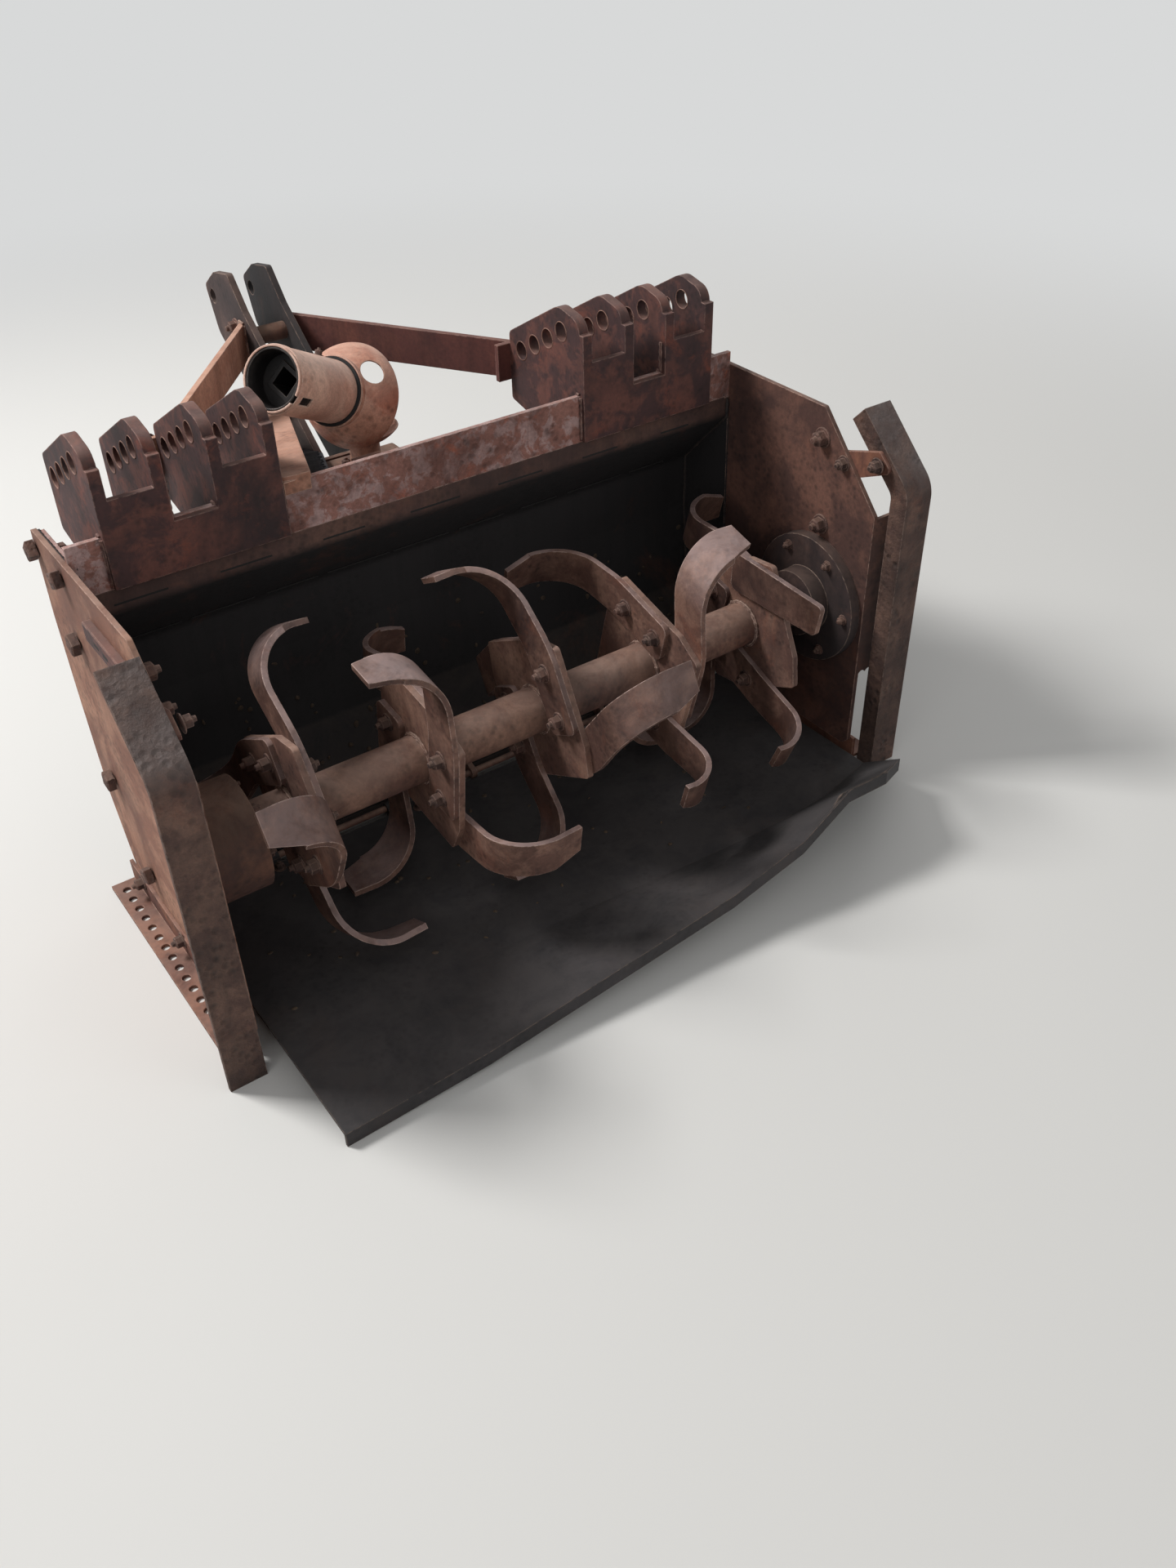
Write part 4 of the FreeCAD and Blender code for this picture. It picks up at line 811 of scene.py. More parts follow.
class WeldRecipe(Recipe):
    """Bead laid along edges, with a ripple each 4 mm that wanders 1 mm to the sides."""

    def __init__(self) -> None:
        """Build the tree."""
        super().__init__("weld_bead", Bead=0.004, Ripple=4.0 * MM, Depth=0.16, Wander=1.1 * MM)
        line = self.add("GeometryNodeMeshToCurve", {"Mesh": self.inlet["Geometry"]})
        cut = self.add("GeometryNodeResampleCurve", {
            "mode": "LENGTH", "Curve": line, "Length": self.inlet["Ripple"]})
        place = self.add("GeometryNodeInputPosition")
        rough = self.add("ShaderNodeTexNoise", {"Scale": 90.0, "Detail": 2.0, "Vector": place})
        shaken = self.add("ShaderNodeVectorMath", {
            "operation": "SUBTRACT", 0: rough.outputs["Color"], 1: (0.5, 0.5, 0.5)})
        moved = self.add("ShaderNodeVectorMath", {
            "operation": "SCALE", 0: shaken, "Scale": self.inlet["Wander"]})
        bent = self.add("GeometryNodeSetPosition", {"Geometry": cut, "Offset": moved})
        index = self.add("GeometryNodeInputIndex")
        beat = self.add("ShaderNodeMath", {"operation": "MODULO", 0: index, 1: 3.0})
        beat = self.add("ShaderNodeMath", {"operation": "MULTIPLY", 0: beat, 1: self.inlet["Depth"]})
        swell = self.add("ShaderNodeMath", {"operation": "MULTIPLY", 0: rough, 1: 0.5})
        swell = self.add("ShaderNodeMath", {"operation": "ADD", 0: swell, 1: 0.72})
        thick = self.add("ShaderNodeMath", {"operation": "SUBTRACT", 0: swell, 1: beat})
        ring = self.add("GeometryNodeCurvePrimitiveCircle", {"Resolution": 6, "Radius": self.inlet["Bead"]})
        bead = self.add("GeometryNodeCurveToMesh", {
            "Fill Caps": True, "Curve": bent, "Profile Curve": ring, "Scale": thick})
        self.end(self.add("GeometryNodeSetShadeSmooth", {"Geometry": bead}))

    def make(self, piece: Piece, lines: list[list[Vector]], bead_mm: float) -> None:
        """Lay beads along lines.

        Args:
            piece: what the beads become together.
            lines: corner points of each bead.
            bead_mm: radius of a bead.
        """
        points: list[Vector] = []
        edges: list[tuple[int, int]] = []
        for line in lines:
            first = len(points)
            points += line
            edges += [(first + i, first + i + 1) for i in range(len(line) - 1)]
        self.bake(piece, bare_mesh(piece.name + "_lines", points, edges, []), Bead=bead_mm * MM)


class BarRowRecipe(Recipe):
    """Row of small bars, evenly spaced along a line and of slightly uneven length."""

    def __init__(self) -> None:
        """Build the tree."""
        none = (0.0, 0.0, 0.0)
        super().__init__("bar_row", Count=5, Start=none, Step=none, Size=(0.01, 0.01, 0.01), Turn=none)
        line = self.add("GeometryNodeMeshLine", {
            "mode": "OFFSET", "Count": self.inlet["Count"], "Start Location": self.inlet["Start"],
            "Offset": self.inlet["Step"]})
        bar = self.add("GeometryNodeMeshCube", {
            "Vertices X": 5, "Vertices Y": 3, "Vertices Z": 3, "Size": self.inlet["Size"]})
        long = self.add("FunctionNodeRandomValue", {
            "data_type": "FLOAT_VECTOR", 0: (0.62, 0.8, 0.9), 1: (1.0, 1.0, 1.0), "Seed": 11})
        self.end(self.add("GeometryNodeInstanceOnPoints", {
            "Points": line, "Instance": bar, "Rotation": self.inlet["Turn"], "Scale": long}))

    def make(self, piece: Piece, start: Vector, end: Vector, count: int, size_mm: Triple,
             turn: Triple = (0.0, 0.0, 0.0)) -> None:
        """Make the row.

        Args:
            piece: what the row becomes.
            start: middle of the first bar.
            end: middle of the last bar.
            count: how many bars.
            size_mm: length of a bar along its own x, y and z.
            turn: Euler angles of a bar.
        """
        self.bake(piece, bpy.data.meshes.new(piece.name + "_seed"), Count=count, Start=tuple(start),
                  Step=tuple((end - start) / (count - 1)), Size=tuple(c * MM for c in size_mm), Turn=turn)


class CrumbRecipe(Recipe):
    """Dried crumbs strewn on faces."""

    def __init__(self) -> None:
        """Build the tree."""
        super().__init__("soil_crumbs", Density=400.0, Grain=0.005, Seed=3)
        strewn = self.add("GeometryNodeDistributePointsOnFaces", {
            "distribute_method": "RANDOM", "Mesh": self.inlet["Geometry"], "Density": self.inlet["Density"],
            "Seed": self.inlet["Seed"]})
        ball = self.add("GeometryNodeMeshIcoSphere", {"Radius": 1.0, "Subdivisions": 2})
        place = self.add("GeometryNodeInputPosition")
        lumps = self.add("ShaderNodeTexNoise", {"Scale": 2.1, "Detail": 2.0, "Vector": place})
        dent = self.add("ShaderNodeMath", {"operation": "SUBTRACT", 0: lumps, 1: 0.62})
        push = self.add("ShaderNodeVectorMath", {"operation": "SCALE", 0: place, "Scale": dent})
        clod = self.add("GeometryNodeSetPosition", {"Geometry": ball, "Offset": push})
        wide = self.add("FunctionNodeRandomValue", {
            "data_type": "FLOAT_VECTOR", 0: (0.3, 0.3, 0.15), 1: (1.1, 1.0, 0.6), "Seed": 5})
        sized = self.add("ShaderNodeVectorMath", {
            "operation": "SCALE", 0: wide, "Scale": self.inlet["Grain"]})
        self.end(self.add("GeometryNodeInstanceOnPoints", {
            "Points": strewn, "Instance": clod, "Rotation": self.about_z(strewn.outputs["Rotation"], 9),
            "Scale": sized}))

    def make(self, piece: Piece, quads: list[list[Vector]], density: float, grain_mm: float) -> None:
        """Strew crumbs on four-cornered patches.

        Args:
            piece: what the crumbs become together.
            quads: corners of each patch.
            density: crumbs a square metre.
            grain_mm: size of a crumb.
        """
        faces = [tuple(range(4 * i, 4 * i + 4)) for i in range(len(quads))]
        seed = bare_mesh(piece.name + "_patches", [corner for quad in quads for corner in quad], [], faces)
        self.bake(piece, seed, Density=density, Grain=grain_mm * MM)


class RimRecipe(Recipe):
    """Worn bright rim round a hole, copied to each point."""

    def __init__(self) -> None:
        """Build the tree."""
        super().__init__("hole_rim", Radius=0.0165, Lip=0.8 * MM, Facing=(1.0, 0.0, 0.0))
        ring = self.add("GeometryNodeCurvePrimitiveCircle", {
            "Resolution": 24, "Radius": self.inlet["Radius"]})
        edge = self.add("GeometryNodeCurvePrimitiveCircle", {"Resolution": 5, "Radius": self.inlet["Lip"]})
        rim = self.add("GeometryNodeCurveToMesh", {"Curve": ring, "Profile Curve": edge})
        aim = self.add("FunctionNodeAlignRotationToVector", {"axis": "Z", "Vector": self.inlet["Facing"]})
        copies = self.add("GeometryNodeInstanceOnPoints", {
            "Points": self.inlet["Geometry"], "Instance": rim, "Rotation": aim})
        self.end(self.add("GeometryNodeSetShadeSmooth", {"Geometry": copies}))

    def make(self, piece: Piece, places: list[Vector], radius_mm: float) -> None:
        """Put a rim at each place."""
        self.bake(piece, bare_mesh(piece.name + "_points", places, [], []), Radius=radius_mm * MM)


def seam(x: float, *corners: Pair) -> list[Vector]:
    """Line at one x through corners given as (y, z)."""
    return [at(x, y, z) for y, z in corners]


def patch(x0: float, x1: float, one: Pair, other: Pair) -> list[Vector]:
    """Four corners from one (y, z) to another, between two places along x."""
    return [at(x0, *one), at(x1, *one), at(x1, *other), at(x0, *other)]


def fixings(places: list[Vector], toward: Vector, flats: float) -> list[Fixing]:
    """Fixings of one size that all face one way."""
    return [Fixing(place, toward, flats) for place in places]


def ring(middle: Vector, axis: Vector, radius_mm: float, count: int) -> list[Vector]:
    """Points round a circle.

    Args:
        middle: its centre, in metres.
        axis: X_AXIS or Z_AXIS.
        radius_mm: its radius.
        count: how many points.

    Returns:
        The points, first one not repeated.
    """
    across, up = (Y_AXIS, Z_AXIS) if axis is X_AXIS else (X_AXIS, Y_AXIS)
    angles = [2.0 * math.pi * i / count for i in range(count)]
    return [middle + (across * math.cos(a) + up * math.sin(a)) * (radius_mm * MM) for a in angles]


def hoop(middle: Vector, axis: Vector, radius_mm: float, count: int) -> list[Vector]:
    """Closed circle, its first point repeated at the end."""
    points = ring(middle, axis, radius_mm, count)
    return points + points[:1]


@dataclass
class Kit:
    """Recipes that the sub-assemblies share."""

    hexes: FixingRecipe = field(default_factory=FixingRecipe)
    squares: FixingRecipe = field(default_factory=lambda: FixingRecipe(4, 0.5, 0.2, 0.05))
    welds: WeldRecipe = field(default_factory=WeldRecipe)
    bars: BarRowRecipe = field(default_factory=BarRowRecipe)
    crumbs: CrumbRecipe = field(default_factory=CrumbRecipe)
    rims: RimRecipe = field(default_factory=RimRecipe)


@dataclass
class Assembly:
    """Sub-assembly that makes its pieces with the shared recipes."""

    kit: Kit


@dataclass
class BodyPlates(Assembly):
    """Fastenings and seams of the end plates, skids and depth bars, and the angle bar by the right skid."""

    pad_bolt: float = 24.0
    plate_bolt: float = 22.0
    strap_bolt: float = 17.0
    depth_bolt: float = 17.0
    pad: float = 10.0
    strap: float = 7.0
    depth_bar: float = 6.0
    bead: float = 3.6
    right_heads: tuple[Pair, ...] = ((-7.0, -29.0), (-112.0, -30.0), (-108.0, -137.0), (-79.0, -402.0),
                                     (-157.0, -546.0))
    left_heads: tuple[Pair, ...] = ((-30.0, -30.0), (-112.0, -30.0))
    pad_nuts: tuple[Pair, ...] = ((-30.0, -32.0), (-112.0, -32.0))
    plate_holes: tuple[Pair, ...] = ((-377.0, -53.0), (-391.0, -206.0))
    strap_holes: tuple[Pair, ...] = ((-430.0, -80.0), (-503.0, -58.0))
    depth_holes: Triple = (-96.0, -264.0, -432.0)
    depth_z: float = -606.0
    depth_nut_z: float = -600.0
    rest_ends: Pair = (-215.0, -402.0)
    rest_section: tuple[Pair, ...] = ((-600.0, -46.0), (-611.0, -46.0), (-612.4, -47.4), (-612.4, -74.0),
                                      (-608.5, -74.0), (-608.5, -50.5), (-600.0, -50.5))
    rest_slots: tuple[Triple, Triple] = ((-612.1, -262.0, -62.0), (-612.1, -330.0, -62.0))
    rest_slot: Triple = (0.8, 20.0, 7.0)
    # seams inside each plate: how far in from its face, and corners as (y, z)
    seams: tuple[tuple[float, tuple[Pair, ...]], ...] = (
        (4.5, ((-137.5, -62.0), (-137.5, -96.0), (-25.0, -206.0), (-25.0, -312.0), (-39.0, -470.0),
               (-84.0, -588.0))),
        (11.0, ((-132.0, -56.0), (-132.0, -4.0))),
        (1.0, ((-132.0, -3.0), (-8.0, -3.0))))

    def build(self) -> None:
        """Make the pieces."""
        heads = fixings(seam(-HALF, *self.right_heads), -X_AXIS, self.pad_bolt)
        heads += fixings(seam(HALF, *self.left_heads), X_AXIS, self.pad_bolt)
        self.kit.squares.make(Piece("plate_square_bolts", Body.FRAME, "rusted_plate", "bolt_rust"), heads)
        nuts = self.nuts(-1.0) + self.nuts(1.0)
        self.kit.hexes.make(Piece("plate_hex_bolts", Body.FRAME, "rusted_plate", "bolt_rust"), nuts)
        near, far = ([at(x, y, z) for x, z in self.rest_section] for y in self.rest_ends)
        Piece("skid_rest_bar", Body.FRAME, "rusted_plate", "bracket_plate").draw_out(near, far)
        # slots in the rest bar: dark bars of painted shade
        first, last = (at(*place) for place in self.rest_slots)
        self.kit.bars.make(Piece("skid_rest_slot_shades", Body.FRAME, "rusted_plate", "slit_painted_shade"), first, last, 3,
                           self.rest_slot)
        beads = [seam(side * (INNER - inset), *line) for side in (-1.0, 1.0) for inset, line in self.seams]
        self.kit.welds.make(Piece("plate_welds", Body.FRAME, "rusted_plate", "weld_soil_and_shade"), beads, self.bead)

    def nuts(self, side: float) -> list[Fixing]:
        """Nuts and hexagon heads on both faces of one end plate.

        Args:
            side: -1 for the machine's right, 1 for its left.

        Returns:
            The fixings, from the front edge to the rear one.
        """
        inward = X_AXIS * -side
        rows = fixings(seam(side * (INNER - self.pad), *self.pad_nuts), inward, self.plate_bolt)
        for hole in self.plate_holes:
            rows += fixings(seam(side * INNER, hole), inward, self.plate_bolt)
            rows += fixings(seam(side * HALF, hole), -inward, self.plate_bolt)
        rows += fixings(seam(side * INNER, *self.strap_holes), inward, self.strap_bolt)
        rows += fixings(seam(side * (HALF + self.strap), self.strap_holes[0]), -inward, self.strap_bolt)
        for y in self.depth_holes:
            rows += fixings(seam(side * (HALF + self.depth_bar), (y, self.depth_z)), -inward, self.depth_bolt)
            if side < 0.0:
                rows += fixings(seam(side * INNER, (y, self.depth_nut_z)), inward, self.depth_bolt)
        return rows


@dataclass
class HitchWelds(Assembly):
    """Weld beads and worn pin holes of the two hitch brackets."""

    first: float = 278.5
    pitch: float = 84.0
    plates: int = 4
    thick: float = 18.0
    rim_r: float = 16.0
    hole: Pair = (38.0, 47.0)
    hole_pitch: float = 46.0
    hole_count: int = 4
    slope: float = math.atan2(83.0, -150.0)
    bead: float = 4.2
    foot: tuple[Pair, Pair] = ((-126.0, 23.0), (-134.0, 23.0))
    outer: tuple[tuple[Pair, Pair], ...] = (
        ((-137.0, -54.0), (-137.0, 20.0)), ((-122.0, -51.0), (-60.0, -51.0)),
        ((-125.5, -46.0), (-125.5, 20.0)))
    inner: tuple[Pair, Pair] = ((-134.5, 24.0), (-134.5, 74.0))
    # short seam of the second plate, where the front plate steps down
    tack: tuple[Pair, Pair] = ((-134.5, 24.0), (-134.5, 24.5))

    def build(self) -> None:
        """Make the pieces."""
        beads: list[list[Vector]] = []
        holes: list[Vector] = []
        y, z = self.hole
        steps = [k * self.hole_pitch for k in range(self.hole_count)]
        places = [(y + step * math.cos(self.slope), z + step * math.sin(self.slope)) for step in steps]
        for side in (-1.0, 1.0):
            for i in range(self.plates):
                for edge, free in ((-1.0, i == 0), (1.0, i == self.plates - 1)):
                    face = self.first + i * self.pitch + edge * self.thick / 2.0
                    holes += seam(side * face, *places)
                    rest = self.outer if free else (self.tack if i == 1 else self.inner,)
                    beads += [seam(side * (face + edge), *line) for line in (self.foot, *rest)]
        self.kit.welds.make(Piece("hitch_welds", Body.FRAME, "rusted_plate", "bracket_plate"), beads,
                            self.bead)
        self.kit.rims.make(Piece("pin_hole_rims", Body.FRAME, "rusted_plate", "rusted_plate"), holes,
                           self.rim_r)


@dataclass
class MastFastenings(Assembly):
    """Bolts and welds of the mast, its braces, strut and ribbed stay."""

    foot_bolt: float = 19.0
    foot_bolts: tuple[Triple, ...] = ((-34.0, 200.0, -140.0), (-34.0, 200.0, -222.0), (0.0, 200.0, -140.0),
                                      (0.0, 200.0, -222.0))
    brace_bolt: float = 24.0
    brace_bolts: tuple[Triple, ...] = ((300.0, 85.0, 0.0), (300.0, 85.0, 37.0), (-384.0, 85.0, 0.0),
                                       (-384.0, 85.0, 37.0))
    side_bolt: Triple = (-60.5, 476.0, 40.0)
    bead: float = 3.8
    # faces of the two mast plates along x, and their seam on the foot
    faces: tuple[float, ...] = (-61.5, -47.5, 13.5, 27.5)
    foot_seam: tuple[Pair, Pair] = ((201.5, -228.0), (201.5, -128.0))
    # where each brace lands on a plate, as (x, y), and the seams round its end from there
    landings: tuple[Pair, ...] = ((27.5, 452.0), (-61.5, 448.0))
    end_seams: tuple[tuple[Pair, Pair], ...] = (((10.5, -8.0), (10.5, 52.0)), ((-11.0, -8.0), (-11.0, 52.0)),
                                                ((10.0, 55.0), (-10.5, 55.0)))
    pad_edges: Pair = (262.0, -342.0)
    pad_seam: tuple[Pair, Pair] = ((86.5, -12.0), (86.5, 48.0))
    strut_face: float = -61.8
    strut_seam: tuple[Pair, Pair] = ((312.0, -74.25), (410.0, -97.28))
    rib_count: int = 34
    rib: Triple = (40.0, 3.4, 2.6)
    rib_lift: float = 6.2
    rib_reach: Pair = (26.0, 270.0)
    stay_low: Triple = (-172.0, -49.0, -45.0)
    stay_high: Triple = (-40.0, 292.0, -132.0)

    def build(self) -> None:
        """Make the pieces."""
        rows = fixings([at(*place) for place in self.foot_bolts], Y_AXIS, self.foot_bolt)
        rows += fixings([at(*place) for place in self.brace_bolts], Y_AXIS, self.brace_bolt)
        rows += fixings([at(*self.side_bolt)], -X_AXIS, self.foot_bolt)
        self.kit.hexes.make(Piece("mast_bolts", Body.FRAME, "rusted_plate", "bolt_rust"), rows)
        beads = [seam(x, *self.foot_seam) for x in self.faces]
        for x, y in self.landings:
            beads += [seam(x, *[(y + up, z) for up, z in line]) for line in self.end_seams]
        beads += [seam(x, *self.pad_seam) for x in self.pad_edges]
        beads.append(seam(self.strut_face, *self.strut_seam))
        self.kit.welds.make(Piece("mast_welds", Body.FRAME, "rusted_plate", "weld_rust"), beads, self.bead)
        self.ribs()

    def ribs(self) -> None:
        """Lay the ribs across the stay, on its upper face."""
        low, high = Vector(self.stay_low), Vector(self.stay_high)
        along = (high - low).normalized()
        across = (X_AXIS - along * X_AXIS.dot(along)).normalized()
        normal = across.cross(along)
        lift = normal * math.copysign(self.rib_lift, normal.z)
        start, end = (at(*(low + along * reach + lift)) for reach in self.rib_reach)
        turn = Matrix((across, along, normal)).transposed().to_euler()
        self.kit.bars.make(Piece("stay_ribs", Body.FRAME, "gear_iron", "old_rubber"), start, end,
                           self.rib_count, self.rib, tuple(turn))


@dataclass
class DriveFastenings(Assembly):
    """Bolts and seams of the gearbox, its rails, the cross shaft housing and the side drive case."""

    # y, z and radius of the bolt line round each end of the case
    case_top: Triple = (SHAFT_Y, SHAFT_Z, 66.0)
    case_low: Triple = (ROTOR_Y, ROTOR_Z, 105.0)
    case_face: float = 648.0
    case_bolt: float = 13.0
    # cap of the case, hub of the left plate, drum of the right one: x, way it faces, ring's and bolt's size
    rotor_rings: tuple[tuple[float, ...], ...] = ((648.0, 1.0, 74.0, 11.0), (572.0, -1.0, 98.0, 12.0),
                                                  (-506.0, 1.0, 66.0, 13.0))
    # gearbox: its input axis as (x, y), its covers as z and way, and its flange on the cross shaft
    box_axis: Pair = (-16.0, 100.0)
    box_covers: tuple[Pair, ...] = ((-112.0, 1.0), (-274.0, -1.0))
    box_ring: float = 42.0
    box_seam: Pair = (-111.0, 27.5)
    flange_x: float = 72.0
    flange_ring: float = 54.0
    side_face: float = -58.0
    side_bolts: tuple[Pair, ...] = ((48.0, -134.0), (48.0, -240.0), (160.0, -134.0), (160.0, -240.0))
    plug: Pair = (104.0, SHAFT_Z)
    plug_flats: float = 27.0
    rail_bolt: float = 17.0
    rail_bolts: tuple[Triple, ...] = ((-84.0, 22.0, -132.0), (-84.0, 22.0, -250.0), (90.0, 22.0, -132.0),
                                      (90.0, 22.0, -250.0), (-85.0, -43.0, -36.0))
    bead: float = 3.6
    shaft_seams: Pair = (73.0, 590.5)
    shaft_r: float = 39.5
    drum_x: float = -591.0
    drum_r: float = 87.5
    rail_edges: tuple[float, ...] = (-111.0, -59.0, 57.0, 109.0)
    rail_seam: tuple[Pair, Pair] = ((-16.5, -298.0), (-16.5, -216.0))

    def case_ring(self) -> list[Pair]:
        """Places of the case's cover bolts.

        Returns:
            (y, z) of each bolt, set in from the case's edge.
        """
        ty, tz, tr = self.case_top
        ly, lz, lr = self.case_low
        base = math.atan2(lz - tz, ly - ty)
        lean = math.acos((tr - lr) / math.hypot(ly - ty, lz - tz))
        spots = []
        for k in range(5):
            a = base + lean + (2.0 * math.pi - 2.0 * lean) * k / 4.0
            spots.append((ty + tr * math.cos(a), tz + tr * math.sin(a)))
        for k in range(7):
            a = base - lean + 2.0 * lean * k / 6.0
            spots.append((ly + lr * math.cos(a), lz + lr * math.sin(a)))
        for sign in (-1.0, 1.0):
            a = base + sign * lean
            for share in (0.25, 0.5, 0.75):
                r = tr + (lr - tr) * share
                y, z = ty + (ly - ty) * share, tz + (lz - tz) * share
                spots.append((y + r * math.cos(a), z + r * math.sin(a)))
        return spots

    def build(self) -> None:
        """Make the pieces."""
        rows = fixings(seam(self.case_face, *self.case_ring()), X_AXIS, self.case_bolt)
        for x, way, radius, flats in self.rotor_rings:
            rows += fixings(ring(at(x, ROTOR_Y, ROTOR_Z), X_AXIS, radius, 6), X_AXIS * way, flats)
        for z, way in self.box_covers:
            cover = ring(at(*self.box_axis, z), Z_AXIS, self.box_ring, 6)
            rows += fixings(cover, Z_AXIS * way, self.case_bolt)
        flange = ring(at(self.flange_x, SHAFT_Y, SHAFT_Z), X_AXIS, self.flange_ring, 6)
        rows += fixings(flange, X_AXIS, self.case_bolt)
        rows += fixings(seam(self.side_face, *self.side_bolts), -X_AXIS, self.rail_bolt)
        rows += fixings([at(*place) for place in self.rail_bolts], Y_AXIS, self.rail_bolt)
        rows += fixings(seam(self.side_face, self.plug), -X_AXIS, self.plug_flats)
        self.kit.hexes.make(Piece("drive_bolts", Body.FRAME, "gear_iron", "bolt_rust"), rows)
        seam_z, seam_r = self.box_seam
        beads = [hoop(at(x, SHAFT_Y, SHAFT_Z), X_AXIS, self.shaft_r, 24) for x in self.shaft_seams]
        beads.append(hoop(at(self.drum_x, ROTOR_Y, ROTOR_Z), X_AXIS, self.drum_r, 36))
        beads.append(hoop(at(*self.box_axis, seam_z), Z_AXIS, seam_r, 24))
        beads += [seam(x, *self.rail_seam) for x in self.rail_edges]
        self.kit.welds.make(Piece("drive_welds", Body.FRAME, "gear_iron", "weld_rust"), beads, self.bead)


@dataclass
class HoodDetails(Assembly):
    """Painted shade of the hood's slits and lap, its rear flange that keeps the gap under the hinge in shade,
    soil caked in its corners, and the hinge's end washers.
    """

    slits: tuple[Triple, Triple] = ((-505.0, -135.1, -82.0), (470.0, -135.1, -88.0))
    slit_count: int = 7
    slit: Triple = (96.0, 1.0, 3.0)
    laps: tuple[Triple, Triple] = ((-480.0, -41.0, -196.5), (480.0, -41.0, -196.5))
    lap_count: int = 9
    lap: Triple = (122.0, 1.2, 2.2)
    lap_turn: Triple = (math.radians(-46.0), 0.0, 0.0)
    rear_half: float = 586.0
    rear_section: tuple[Pair, ...] = ((-116.5, -606.0), (-119.5, -608.0), (-119.5, -630.0), (-124.0, -637.0),
                                      (-121.5, -639.0), (-116.5, -631.0))
    soil_half: float = 580.0
    # stretches of the sheet, from one fold to the next, that soil sticks to
    soil: tuple[tuple[Pair, Pair], ...] = (
        ((-37.1, -470.0), (-83.6, -590.0)), ((-23.6, -330.0), (-37.1, -470.0)),
        ((-84.6, -592.0), (-120.6, -604.0)))
    pad_half: Pair = (590.0, 545.0)
    pad_soil: tuple[Pair, Pair] = ((-120.0, -49.6), (-60.0, -49.6))
    crumbs_a_metre: float = 260.0
    crumb: float = 7.0
    washer_x: float = 556.0
    washer: tuple[Pair, ...] = ((6.2, -1.5), (12.0, -1.5), (12.6, 0.0), (12.0, 1.5), (6.2, 1.5))

    def build(self) -> None:
        """Make the pieces."""
        # slits and lap edge: dark bars of painted shade
        for name, ends, count, size, turn in (
                ("hood_slit_shades", self.slits, self.slit_count, self.slit, (0.0, 0.0, 0.0)),
                ("hood_lap_edge_shade", self.laps, self.lap_count, self.lap, self.lap_turn)):
            start, end = (at(*place) for place in ends)
            piece = Piece(name, Body.FRAME, "hood_sheet", "slit_painted_shade")
            self.kit.bars.make(piece, start, end, count, size, turn)
        quads = [patch(-self.soil_half, self.soil_half, one, other) for one, other in self.soil]
        quads += [patch(*[side * x for x in self.pad_half], *self.pad_soil) for side in (-1.0, 1.0)]
        self.kit.crumbs.make(Piece("hood_soil", Body.FRAME, "hood_sheet", "dry_soil"), quads,
                             self.crumbs_a_metre, self.crumb)
        # rear flange: a strip under the gap behind the hinge, set there so that the gap shows shade
        near, far = (seam(x, *self.rear_section) for x in (-self.rear_half, self.rear_half))
        Piece("hood_rear_flange_for_shade", Body.FRAME, "hood_sheet", "hood_sheet").draw_out(near, far)
        turn = Matrix.Rotation(math.pi / 2.0, 4, "Y") @ Matrix.Scale(MM, 4)
        for side, word in ((-1.0, "right"), (1.0, "left")):
            aim = Matrix.Translation(at(side * self.washer_x, HINGE_Y, HINGE_Z)) @ turn
            Piece("hinge_washer_" + word, Body.FRAME, "rotor_steel", "bolt_rust").turn(self.washer, aim, 28)


@dataclass
class RotorFastenings(Assembly):
    """Blade bolts and the beads that hold the flanges to the tube."""

    pitch: float = 216.0
    flange: float = 10.0
    blade: float = 9.0
    bolt_off: float = -79.0
    bolt_along: Pair = (-16.0, 62.0)
    flats: float = 19.0
    tube_r: float = 39.5
    bead: float = 4.4
    bead_off: float = 2.0
    # station, angle from the soil side toward the front, side of the flange that the blade lies on
    blades: tuple[tuple[int, float, int], ...] = (
        (-2, 120.0, 1), (-2, 34.0, -1), (-2, -62.0, 1), (-2, 210.0, -1),
        (-1, 82.0, -1), (-1, -8.0, 1), (-1, 172.0, 1), (-1, 262.0, -1),
        (0, 118.0, -1), (0, 28.0, 1), (0, -62.0, -1), (0, 208.0, 1),
        (1, 75.0, 1), (1, -15.0, -1), (1, 165.0, -1), (1, 255.0, 1),
        (2, -22.0, -1), (2, 165.0, 1), (2, 255.0, -1))

    def spot(self, station: int, angle: float, x: float, along: float) -> Vector:
        """Place of a bolt on a blade.

        Args:
            station: which flange.
            angle: the blade's angle in degrees.
            x: along the rotor from the flange's middle, mm.
            along: outward along the shank, mm.

        Returns:
            The place in the scene.
        """
        a = math.radians(90.0 - angle)
        return at(station * self.pitch + x, ROTOR_Y + self.bolt_off * math.cos(a) - along * math.sin(a),
                  ROTOR_Z + self.bolt_off * math.sin(a) + along * math.cos(a))

    def build(self) -> None:
        """Make the pieces."""
        rows: list[Fixing] = []
        shown = {(station, hand) for station, _, hand in self.blades}
        for station, angle, hand in self.blades:
            ends = [(hand, self.flange / 2.0 + self.blade)]
            if (station, -hand) not in shown:
                ends.append((-hand, self.flange / 2.0))
            for along in self.bolt_along:
                rows += [Fixing(self.spot(station, angle, way * far, along), X_AXIS * way, self.flats)
                         for way, far in ends]
        self.kit.hexes.make(Piece("blade_bolts", Body.ROTOR, "rotor_steel", "bolt_rust"), rows)
        offsets = [station * self.pitch + side * (self.flange / 2.0 + self.bead_off)
                   for station in range(-2, 3) for side in (-1.0, 1.0)]
        beads = [hoop(at(x, ROTOR_Y, ROTOR_Z), X_AXIS, self.tube_r, 30) for x in offsets]
        self.kit.welds.make(Piece("rotor_welds", Body.ROTOR, "rotor_steel", "weld_rust"), beads, self.bead)


